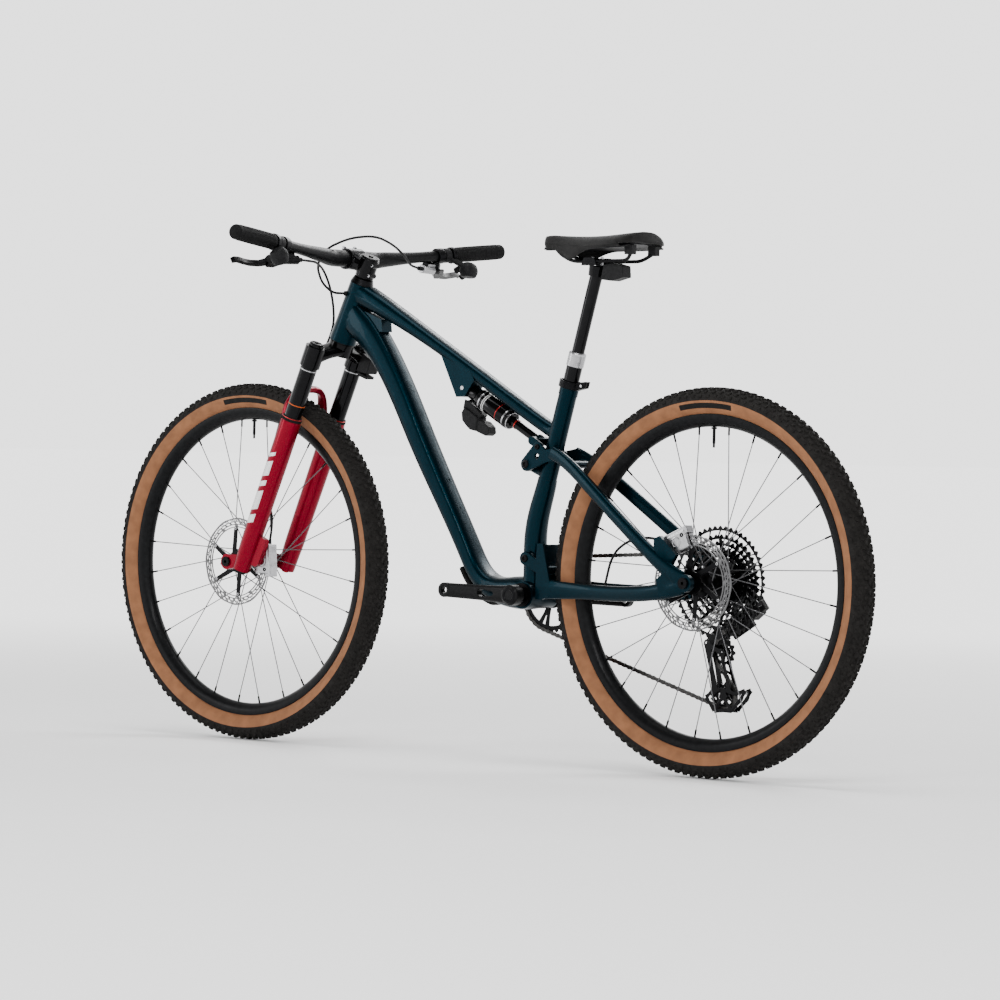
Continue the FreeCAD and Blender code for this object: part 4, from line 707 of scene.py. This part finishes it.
def rotor_ring(y):
    """Braking band with slanted slots, on a sheared polar grid."""
    cells_a, radii = 360, [70.2, 72.0, 75.6, 77.4, 81.2, 82.6, 86.6, 88.2, 90.0]

    def is_open(k, i):
        return (i == 3 and k % 10 < 7 or i == 5 and k % 10 not in (2, 9)
                or i == 1 and 3 <= k % 30 < 27)
    verts, index = [], {}

    def vert(k, i, side):
        key = (k % cells_a, i, side)
        if key not in index:
            r = radii[i] - (0.9 * (0.5 + 0.5 * math.cos(12 * 2 * math.pi * k / cells_a)) if i == 8 else 0)
            a = 2 * math.pi * k / cells_a + (radii[i] - 70) * 0.012
            index[key] = len(verts)
            verts.append((r * MM * math.sin(a), (y + 1.8 * side) * MM, r * MM * math.cos(a)))
        return index[key]
    faces = []
    solid = {(k, i) for k in range(cells_a) for i in range(len(radii) - 1) if not is_open(k, i)}
    for k, i in solid:
        for side in (0, 1):
            corners = ((k, i), (k + 1, i), (k + 1, i + 1), (k, i + 1))
            faces.append(tuple(vert(a, b, side) for a, b in corners))
        for (dk, di), ends in ROTOR_WALLS.items():
            if ((k + dk) % cells_a, i + di) not in solid:
                (ka, ia), (kb, ib) = ends
                faces.append((vert(k + ka, i + ia, 0), vert(k + kb, i + ib, 0),
                              vert(k + kb, i + ib, 1), vert(k + ka, i + ia, 1)))
    return verts, faces


for end, place in AXLE.items():
    wheel, rotor_y = end + "_wheel", ROTOR_Y[end]
    make_tyre(end)
    make_rim(end)
    from_cad(end + "_valve", end + "_rim", M["black"], replaces=False, keep=under("x", 30))
    split_cad(end + "_spokes",
              (end + "_spoke_wires", "spoke", lambda lo, hi: (hi - lo).length > 25),
              (end + "_nipples", "black", lambda lo, hi: (hi - lo).length <= 25))
    from_cad(end + "_hub_shell", end + "_hub", M["black"])
    made(end + "_rotor_band", *rotor_ring(rotor_y), M["steel"], wheel, "rotor_steel", 30, place=place,
         node=end + "_rotor")
    from_cad(end + "_rotor_carrier", end + "_rotor", M["black"], replaces=False,
             keep=under("x", 170))
    for k in range(6):
        a = math.radians(60 * k + 26)
        p = place + Vector((68 * math.cos(a), rotor_y + 2.0, 68 * math.sin(a))) * MM
        bolt_head("%s_rotor_rivet_%d" % (end, k), p, (0, 1, 0), 3.0, wheel, M["bolt"], 1.0, "rotor_steel")


# ---- transmission
PITCH = 12.7
COGS = (52, 44, 38, 32, 28, 24, 21, 18, 16, 14, 12, 10)
COG_Y = {t: -26.0 - 3.6 * i for i, t in enumerate(COGS)}


def pitch_r(teeth):
    """Pitch radius of a chain wheel, mm."""
    return PITCH / (2 * math.sin(math.pi / teeth))


def annulus(r_in, r_out, y0, y1, steps=96):
    """Flat ring about Y."""
    verts, faces, _ = revolve([(r_out, y0), (r_out, y1), (r_in, y1), (r_in, y0)], steps)
    return verts, faces


def web(r0, r1, y0, y1, count, turn0, turn1, width, thick=1.5):
    """Ring of struts from radius r0 to r1."""
    return [bar_between((r0 * math.sin(a + turn0), y0, r0 * math.cos(a + turn0)),
                        (r1 * math.sin(a + turn1), y1, r1 * math.cos(a + turn1)), width, thick)
            for a in turns(count)]


def cassette_mesh():
    """Twelve toothed rings, joined by rings and struts."""
    parts = []
    for i, t in enumerate(COGS):
        p, y = pitch_r(t), COG_Y[t]
        if t < 18:
            parts.append(gear_ring(t, p, max(p - 7, 10), y - 0.8, y + 0.8))
            continue
        small = COGS[i + 1]
        q = pitch_r(small)
        parts.append(gear_ring(t, p, p - 6.8, y - 0.8, y + 0.8))
        if t >= 24:
            parts.append(annulus(q - 6.5, q - 2.4, y - 0.75, y + 0.75))
            parts += web(p - 6.2, q - 3.0, y, y, t // 2, 0.0, 0.06, 2.6)
        outer = p - 5.5 if t < 24 else q - 4.5
        parts += web(outer, q - 4.6, y - 0.3, COG_Y[small] + 0.3, max(8, t // 4), 0.1, 0.13, 3.4)
    parts += web(pitch_r(44) - 4.5, 21, COG_Y[52], -50, 12, 0.0, 0.45, 6.5, 2.0)
    parts += web(pitch_r(28) - 4, 19, COG_Y[32], -52, 8, 0.2, 0.5, 5.5, 2.0)
    return join_parts(parts)


made("cassette_cogs", *cassette_mesh(), M["gloss"], "cassette", "dark_steel", 30, place=REAR, node="cassette")
lathe("cassette_body", REAR + Vector((0, -0.0705, 0)), (0, 1, 0),
      [(9.2, 0), (14.5, 0), (16.4, 2), (16.4, 40), (23, 43), (25.5, 45.6), (9.2, 45.6)],
      M["black"], "cassette", "dark_steel")


def chainring_mesh():
    """Toothed ring on five forked arms."""
    p = pitch_r(36)
    parts = [gear_ring(36, p, 62, -53.0, -51.0)]
    for a in turns(5, 0.3):
        for spread in (-0.14, 0.14):
            parts.append(bar_between((64 * math.sin(a + spread), -52.2, 64 * math.cos(a + spread)),
                                     (22 * math.sin(a), -53.2, 22 * math.cos(a)), 8.5, 2.6))
    return join_parts(parts)


made("chainring_teeth", *chainring_mesh(), M["black"], "crank", "black_metal", 30, place=BB, node="chainring")
lathe("chainring_boss", BB + Vector((0, -0.0559, 0)), (0, 1, 0),
      [(18.2, 0), (26, 0), (27.5, 1.5), (27, 5.1), (18.2, 5.1)], M["black"], "crank", "black_metal")
from_cad("left_crank", "left_crank_arm", M["carbon"], voxel=1.1, blur=5)
split_cad("right_crank_arm",
          ("right_crank", "carbon", over("x", 80), {"voxel": 1.1, "blur": 5}),
          ("crank_spindle", "black", under("x", 80)))
for sign in (-1, 1):
    lathe("crank_cap_%d" % sign, BB + Vector((0, sign * 0.0805, 0)), (0, sign, 0),
          [(5, 0), (15.5, 0), (16.2, 1.2), (15.2, 2.4), (11, 2.6), (9.5, 1.4), (5, 1.4)], M["black"], "crank",
          "black_metal")


CAGE_PIVOT, CAGE_END = (-566, 252), (-651, 162)
PULLEY = {"upper": (-600, 236), "lower": (-606, 154)}
PULLEY_TEETH, PULLEY_Y = 12, COG_Y[28] - 0.6


def side_view(spot, y=0.0):
    """Point in metres from an (x, z) spot in mm at a line y."""
    return Vector((spot[0] * MM, y, spot[1] * MM))


def chain_stops():
    """Wheels that the chain runs round: centre, radius, line and hand."""
    return [(BB, pitch_r(36), -52.0, 1), (REAR, pitch_r(28), COG_Y[28], 1),
            (side_view(PULLEY["upper"]), pitch_r(PULLEY_TEETH), PULLEY_Y, -1),
            (side_view(PULLEY["lower"]), pitch_r(PULLEY_TEETH), PULLEY_Y, 1)]


def tangent(p, rp, q, rq, hp, hq):
    """Ends of the straight run from one wheel to the next, mm."""
    gap = (q - p) / MM
    length = math.hypot(gap.x, gap.z)
    angle = math.atan2(gap.z, gap.x) + math.asin((hp * rp - hq * rq) / length)
    n = Vector((math.sin(angle), 0, -math.cos(angle)))
    return p / MM + n * (hp * rp), q / MM + n * (hq * rq)


def chain_path():
    """Closed centreline of the chain, mm."""
    stops = chain_stops()
    runs = []
    for i, (p, rp, yp, hp) in enumerate(stops):
        q, rq, yq, hq = stops[(i + 1) % 4]
        a, b = tangent(p, rp, q, rq, hp, hq)
        a.y, b.y = yp, yq
        runs.append((a, b))
    points = []
    for i, (c, r, y, hand) in enumerate(stops):
        start, stop = runs[i - 1][1], runs[i][0]
        c = c / MM
        a0, a1 = math.atan2(start.z - c.z, start.x - c.x), math.atan2(stop.z - c.z, stop.x - c.x)
        turn = (a1 - a0) % (2 * math.pi) if hand > 0 else -((a0 - a1) % (2 * math.pi))
        for a in (a0 + turn * k / 40 for k in range(40)):
            points.append(Vector((c.x + r * math.cos(a), y, c.z + r * math.sin(a))))
        points += [stop.lerp(runs[i][1], k / 60) for k in range(60)]
    return points


def chain_links():
    """Plates and rollers of every link, by the body that carries them."""
    points = chain_path()
    points.append(points[0])
    lengths = [0.0]
    for a, b in zip(points, points[1:]):
        lengths.append(lengths[-1] + (b - a).length)
    count = int(round(lengths[-1] / PITCH / 2)) * 2
    step = lengths[-1] / count
    pins, j = [], 0
    for k in range(count):
        d = k * step
        while lengths[j + 1] < d:
            j += 1
        t = (d - lengths[j]) / max(1e-9, lengths[j + 1] - lengths[j])
        pins.append(points[j].lerp(points[j + 1], t))
    groups = {"chain": [], "rear_triangle": []}
    for k in range(count):
        a, b = pins[k], pins[(k + 1) % count]
        mid = (a + b) / 2
        near_rear = (Vector((mid.x, 0, mid.z)) - REAR / MM).length < 62 or (mid.z < 285 and mid.x < -545)
        body = "rear_triangle" if near_rear else "chain"
        y0, y1 = (2.05, 2.65) if k % 2 else (1.35, 2.0)
        d = (b - a).normalized()
        up = Vector((0, 1, 0)).cross(d).normalized()
        for sign in (-1, 1):
            outline = []
            for centre, flip in ((a, -1), (b, 1)):
                for t in (math.pi * (q / 6 - 0.5) for q in range(7)):
                    outline.append(centre + (d * math.cos(t) + up * math.sin(t)) * (flip * 4.1))
            mid_low, mid_high = (a + b) / 2 - up * 2.9, (a + b) / 2 + up * 2.9
            outline = outline[:7] + [mid_low] + outline[7:] + [mid_high]
            ring0 = [p + Vector((0, sign * y0, 0)) for p in outline]
            ring1 = [p + Vector((0, sign * y1, 0)) for p in outline]
            groups[body].append(([tuple(p * MM) for p in ring0 + ring1], loop_faces(2, len(outline))))
        roller = []
        for y in (-3.0, -1.3, 1.3, 3.0):
            r = 1.8 if abs(y) > 2 else 3.7
            roller += [a + (d * math.cos(t) + up * math.sin(t)) * r + Vector((0, y, 0)) for t in turns(10)]
        groups[body].append(([tuple(p * MM) for p in roller], loop_faces(4, 10)))
    return groups


for body, parts in chain_links().items():
    made("chain_links_" + body, *join_parts(parts), M["chain"], body, "dark_steel", 30, node="chain")


# ---- derailleur
from_cad("mech_mount", "derailleur_mount", M["plastic"], voxel=0.8, blur=3)
from_cad("mech_outer_link", "derailleur_outer_link", M["plastic"], voxel=0.7, blur=3)
from_cad("mech_inner_link", "derailleur_inner_link", M["plastic"], voxel=0.7, blur=3)
from_cad("mech_knuckle", "derailleur_knuckle", M["plastic"], voxel=0.8, blur=4)


def cage_plate(y, eye_r):
    """Open plate of the pulley cage: two arms, a pulley ring and a pierced guard."""
    pivot, upper, lower = ((x, y, z) for x, z in (CAGE_PIVOT, PULLEY["upper"], PULLEY["lower"]))
    guard = [(x, y, z) for x, z in ((-566, 150), (-586, 126), (-627, 128), (-648, 150), (-657, 167),
                                    (-634, 160), (-606, 167), (-580, 162))]
    parts = [bar_between(p, q, 8, 2) for p, q in zip(guard, guard[1:] + guard[:1])]
    parts += [bar_between(lower, guard[k], 7, 2) for k in (1, 2, 6)]
    parts += [bar_between(pivot, (-588, y, 160), 13, 2), bar_between(upper, (-622, y, 160), 8, 2),
              bar_between(pivot, upper, 1.2 * eye_r, 2), bar_between((-598, y, 200), (-611, y, 196), 6, 2)]
    for (x, _, z), r in ((pivot, eye_r), (upper, 8), (lower, 9)):
        verts, faces = annulus(4.6, r, y - 1, y + 1, 48)
        parts.append(([(v[0] + x * MM, v[1], v[2] + z * MM) for v in verts], faces))
    return parts


plates = join_parts(cage_plate(-51.2, 14) + cage_plate(-32.4, 8))
cage = made("mech_cage", *plates, M["gloss"], "derailleur_cage", SLOT_OF["derailleur_cage"], 180)
remeshed(cage, 0.6, 2)
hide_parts("derailleur_cage")
CAGE_PIN = [(1, 0), (3, 0), (3, 20.4), (1, 20.4)]
for spot in (*PULLEY.values(), CAGE_END):
    lathe("cage_pin_%d" % -spot[0], side_view(spot, -0.052), (0, 1, 0), CAGE_PIN, M["bolt"],
          "derailleur_cage", SLOT_OF["derailleur_cage"], 32)
for name, spot in PULLEY.items():
    p = pitch_r(PULLEY_TEETH)
    parts = [gear_ring(PULLEY_TEETH, p, p - 7.5, -42.1, -39.9, per=10)]
    for a in turns(6):
        parts.append(bar_between(((p - 7) * math.sin(a), -41, (p - 7) * math.cos(a)),
                                 (7 * math.sin(a + 0.3), -41, 7 * math.cos(a + 0.3)), 3.4, 1.8))
    made(name + "_pulley_wheel", *join_parts(parts), M["black"], name + "_pulley", "black_plastic", 30,
         place=side_view(spot), node=name + "_pulley")
    lathe(name + "_pulley_hub", side_view(spot, -0.045), (0, 1, 0),
          [(3.2, 0), (7.0, 0), (8.2, 1.2), (8.2, 6.8), (7.0, 8.0), (3.2, 8.0)], M["black"], name + "_pulley",
          "black_plastic", 32)
    bolt_head(name + "_pulley_bolt", side_view(spot, -0.0522), (0, -1, 0), 4.4, "derailleur_cage",
              height=1.6)


# ---- fork
def leg(s, sign):
    """Point on a leg's centre line, S mm up from the axle line."""
    return steer(s, LEG_FWD, sign * LEG_Y)


def stanchion_ring(tall):
    """Profile of a thin ring on a stanchion."""
    return [(17.3, 0), (17.68, 0.2), (17.68, tall - 0.2), (17.3, tall)]


split_cad("fork_upper_unit",
          ("fork_crown_and_tubes", "gloss", over("y", 100)),
          ("fork_module", "plastic", lambda lo, hi: 20 < hi.y - lo.y < 100, {"voxel": 0.9, "blur": 4}),
          ("fork_knob", "silver", under("y", 20)))
split_cad("fork_lowers",
          ("fork_lower_legs", "fork", over("y", 100)),
          ("rebound_knob", "red", under("y", 100)))
from_cad("front_through_axle", "front_axle", M["black"])
for sign in (-1, 1):
    lathe("dust_wiper_%d" % sign, leg(331, sign), UP,
          [(17.75, 4), (21.0, 4), (21.3, 6), (20.6, 9), (19.8, 11.5), (18.4, 12.6), (17.75, 12.6)],
          M["rubber"], "fork_lowers", "grip_rubber", 64)
    lathe("wiper_spring_%d" % sign, leg(340.4, sign), UP,
          [(20.0, 0), (20.7, 0.5), (20.7, 1.3), (20.0, 1.8)], M["red"], "fork_lowers", "grip_rubber", 64)
    if sign == 1:
        bolt_head("leg_foot_bolt", leg(-0.1, 1), -UP, 6, "fork_lowers", M["black"], 3)
        lathe("sag_ring", leg(369, 1), UP, stanchion_ring(2.0), M["orange"], "steering", "black_plastic", 56)
    lathe("stanchion_collar_%d" % sign, leg(446, sign), UP, stanchion_ring(2.4), M["silver"], "steering",
          "silver_metal", 56)
    lathe("crown_cap_%d" % sign, leg(501.5, sign), UP,
          [(4, 0), (14, 0), (14, 2.0), (12.5, 3.2), (9, 3.4), (8.4, 2.2), (4, 2.2)], M["black"], "steering",
          "black_metal", 48)


# ---- bars and controls
BAR_S, BAR_AHEAD, BAR_END = 675, 45, 397


def bar_point(y):
    """Bar centre line at Y mm: straight in the clamp, then swept back and up."""
    reach = abs(y)
    middle = steer(BAR_S, BAR_AHEAD) / MM
    bend = min(max(reach - 30, 0) / 60, 1.0)
    out = max(reach - 60, 0) * bend
    return Vector((middle.x - 0.160 * out, y, middle.z + 0.100 * out)) * MM


def bar_mesh():
    """Tube that is thick in the clamp and thin at the grips."""
    path, radii = [], []
    y = -BAR_END
    while y <= BAR_END + 0.01:
        reach = abs(y)
        path.append(bar_point(y))
        t = min(max((reach - 35) / 155, 0), 1)
        radii.append((17.5 - 6.4 * (3 * t * t - 2 * t ** 3)) * MM)
        y += 6.0 if reach < 200 else 12.0
    if path[-1].y < (BAR_END - 0.5) * MM:
        path.append(bar_point(BAR_END))
        radii.append(11.1 * MM)
    return sweep(path, radii, 40)


made("handlebar_tube", *bar_mesh(), M["carbon"], "steering", "black_carbon", 40, node="handlebar")


def grip_mesh(sign):
    """Lock-on grip with raised pads and a fine rib, open round the bar."""
    rows, cols = 150, 72
    start, end = bar_point(sign * 271.0), bar_point(sign * 399.5)
    m = frame_at(end - start, Vector((1, 0, 0)))
    length = (end - start).length / MM
    verts = []
    for i in range(rows + 1):
        t = i / rows
        d = t * length
        for k, a in enumerate(turns(cols)):
            pad = 1.0 if 0.06 < t < 0.90 and (i % 5) in (1, 2, 3) and k % 6 != 0 else 0.0
            rib = 0.55 * pad
            edge = -1.6 * max(0, (t - 0.965) / 0.035) ** 2 - 0.9 * max(0, (0.02 - t) / 0.02)
            r = 15.1 + rib + edge + 0.35 * math.sin(math.pi * t)
            verts.append(start + m @ Vector((r * math.cos(a), r * math.sin(a), d)) * MM)
    return verts, loop_faces(rows + 1, cols)


for sign, side in ((1, "left"), (-1, "right")):
    made(side + "_grip", *grip_mesh(sign), M["rubber"], "steering", "grip_rubber", 60,
         node="grips" if sign == 1 else None)
    ring_axis = bar_point(sign * 271.5) - bar_point(sign * 262)
    lathe(side + "_grip_clamp", bar_point(sign * 262), ring_axis,
          [(11.15, 0), (16.0, 0), (16.8, 0.8), (16.8, 8.2), (16.0, 9.2), (11.15, 9.2)],
          M["black"], "steering", "grip_rubber", 56)
    bolt_head(side + "_grip_bolt", bar_point(sign * 266.5) + Vector((0, 0, -0.0162)), (0.2, 0, -1), 2.6,
              "steering", M["bolt"], 1.6)

split_cad("stem_and_spacers",
          ("stem_body", "gloss", lambda lo, hi: hi.y - lo.y > 38.5 and hi.x - lo.x > 60,
           {"voxel": 0.9, "blur": 3}),
          ("stem_spacer", "gloss", lambda lo, hi: 30 < hi.y - lo.y < 38 and hi.x - lo.x < 60),
          ("stem_bolts", "bolt", under("y", 12)))
for s in (664, 686):
    lathe("stem_pinch_lug_%d" % s, steer(s, -17.5), (0, 1, 0),
          [(1, -9), (4.6, -9), (5.3, -8.2), (5.3, 8.2), (4.6, 9), (1, 9)],
          M["gloss"], "steering", "black_metal", 40)
    bolt_head("stem_pinch_bolt_%d" % s, steer(s, -17.5, 8.6), (0, 1, 0), 3.6, "steering", M["bolt"], 1.8)
# Painted shade: the left master is the same silver part as the right one, made black because it is seen from
# behind, shaded by the pod.
from_cad("left_master_body", "brake_masters", M["black"], voxel=0.75, blur=3,
         keep=lambda lo, hi: hi.y - lo.y > 20 and lo.y > 0)
right_master = from_cad("right_master_body", "brake_masters", M["silver"], voxel=0.75, blur=3, replaces=False,
                        keep=lambda lo, hi: hi.y - lo.y > 20 and lo.y < 0)
right_master.data.materials.append(M["black"])
for polygon in right_master.data.polygons:
    from_bar = polygon.center - bar_point(polygon.center.y / MM)
    if math.hypot(from_bar.x, from_bar.z) < 16.6 * MM or polygon.center.y < -0.224:
        polygon.material_index = 1
from_cad("hose_nuts", "brake_masters", M["black"], replaces=False, keep=under("y", 20))
for sign in (-1, 1):
    lathe("reservoir_cap_%d" % sign, (0.3112, sign * 0.2002, 0.986), (-0.055, -sign, 0.03),
          [(2, -1.2), (8.1, -1.2), (8.3, 0.2), (7.4, 1.4), (2, 1.4)],
          M["black"], "steering", "black_plastic", 40)
for side in ("left", "right"):
    from_cad(side + "_lever_blade", side + "_lever", M["black"])
from_cad("control_pod_shells", "control_pods", M["plastic"], voxel=0.9, blur=5)
for node in ("left_pod_button", "right_pod_up_button", "right_pod_down_button"):
    from_cad(node + "_cap", node, M["rubber"], voxel=0.6, blur=4)


# ---- brakes
for end, holder, turn, reach in (("front", "fork_lowers", 177, 13.5), ("rear", "rear_triangle", 66, 12)):
    away = Vector((math.cos(math.radians(turn)), 0, math.sin(math.radians(turn))))
    across = Vector((-away.z, 0, away.x))
    face_y = (ROTOR_Y[end] + 0.9 + reach) * MM
    split_cad(end + "_caliper",
              (end + "_caliper_body", "silver", over("y", 12), {"voxel": 0.75, "blur": 14}),
              (end + "_caliper_bolts", "bolt", under("y", 12)))
    for k, (radial, along, r) in enumerate(((82, 0, 11.0), (76, -18, 4.0), (90, 18, 4.0))):
        spot = AXLE[end] + (away * radial + across * along) * MM
        spot.y = face_y - 0.0004
        lathe("%s_piston_cover_%d" % (end, k), spot, (0, 1, 0),
              [(r * share, h) for share, h in ((0.3, 0), (1, 0), (1, 0.9), (0.86, 1.5), (0.72, 1.5),
                                               (0.66, 0.8), (0.3, 0.8))],
              M["black"] if k else M["bolt"], holder, "silver_metal", 48)
    for side in ("left", "right"):
        from_cad("%s_pad_%s_block" % (end, side), "%s_pad_%s" % (end, side), M["pad"])


# ---- seatpost and saddle
split_cad("dropper_stanchion",
          ("stanchion", "gloss", over("z", 100)),
          ("post_battery_case", "plastic", under("z", 100), {"voxel": 0.8, "blur": 4}))
split_cad("saddle_clamp",
          ("rail_clamp", "black", over("x", 10)),
          ("rail_clamp_bolts", "bolt", under("x", 10)))
from_cad("saddle_rail_wires", "saddle_rails", M["black"], angle=60)
from_cad("saddle_shell_base", "saddle_base", M["plastic"], voxel=1.0, blur=3)


def saddle_outline(t):
    """Station T from nose (0) to tail (1): x, half width, top, lower edge and width share, mm."""
    share = 3 * t * t - 2 * t ** 3
    half = 16.5 + 56.5 * share ** 0.92
    nose = math.sqrt(max(0.02, 1 - max(0, (0.07 - t) / 0.07) ** 2))
    tail = math.sqrt(max(0.05, 1 - max(0, (t - 0.90) / 0.10) ** 2)) * 0.45 + 0.55
    lift = 4.0 * (2 * t - 1) ** 2 + 4.5 * max(0, t - 0.72) / 0.28 - 5.0 * max(0, (0.14 - t) / 0.14) ** 2
    low = 1008.0 + lift * 0.55 - 3.0 * math.sin(math.pi * t)
    rise = 5.5 * (1 - t) ** 1.5
    return -178 - 248 * t, half * nose * tail, 1021.5 + lift + rise, low + 0.6 * rise, share


def saddle_mesh():
    """Crowned racing saddle skin with a centre groove, raised wings and a closed underside."""
    rows, cols = 64, 40
    verts = []
    for i in range(rows + 1):
        t = i / rows
        x, half, top, low, share = saddle_outline(t)
        wing = 4.0 * math.exp(-((t - 0.72) / 0.17) ** 2)
        for a in turns(cols):
            c, sn = math.cos(a), math.sin(a)
            u = math.copysign(abs(c) ** 0.72, c)
            edge = 4.5 * abs(u) ** 2.6 * (0.3 + 0.7 * share)
            if sn >= 0:
                crown = sn ** 0.85
                groove = 2.6 * math.exp(-(u * half / 7.5) ** 2) * math.sin(math.pi * min(1, t * 1.05)) ** 0.6
                z = low + (top - low + wing * abs(u) ** 1.4) * crown - groove - edge
            else:
                z = low + 4.2 * sn * (1 - 0.5 * abs(u)) - edge
            verts.append(Vector((x, half * u, z)) * MM)
    return verts, loop_faces(rows + 1, cols)


def saddle_skirt_mesh():
    """Side walls of the saddle shell, one ribbon round the nose, deepest a third of the way back."""
    stations = [(k / 40) ** 1.5 * 0.93 for k in range(41)]
    route = [(t, 1) for t in reversed(stations)] + [(t, -1) for t in stations]
    wall = 2.4
    verts = []
    for t, sign in route:
        x, half, top, low, share = saddle_outline(t)
        high = low - 4.5 * (0.3 + 0.7 * share) + 1.5
        depth = 6.5 + 6 * (1 - t) ** 2 + 18 * math.exp(-((t - 0.33) / 0.13) ** 2)
        for across, down in ((0.985, 0), (0.975, 0.35), (0.955, 0.7), (0.93, 0.93), (0.91, 1.0)):
            verts.append(Vector((x - 2.2 * down, sign * half * across, high - depth * down)) * MM)
        inner = max(half - wall, 0.4)
        for across, down in ((0.91, 1.0), (0.955, 0.7), (0.975, 0.35), (0.985, 0)):
            back = wall * max(0, (0.07 - t) / 0.07)
            verts.append(Vector((x - 2.2 * down - back, sign * inner * across, high - depth * down)) * MM)
    return verts, loop_faces(len(route), 9)


saddle = made("saddle_pad", *saddle_mesh(), M["skin"], "saddle_post", "saddle_skin", 60, node="saddle_cover")
made("saddle_skirt", *saddle_skirt_mesh(), M["skin"], "saddle_post", "black_plastic", 60)
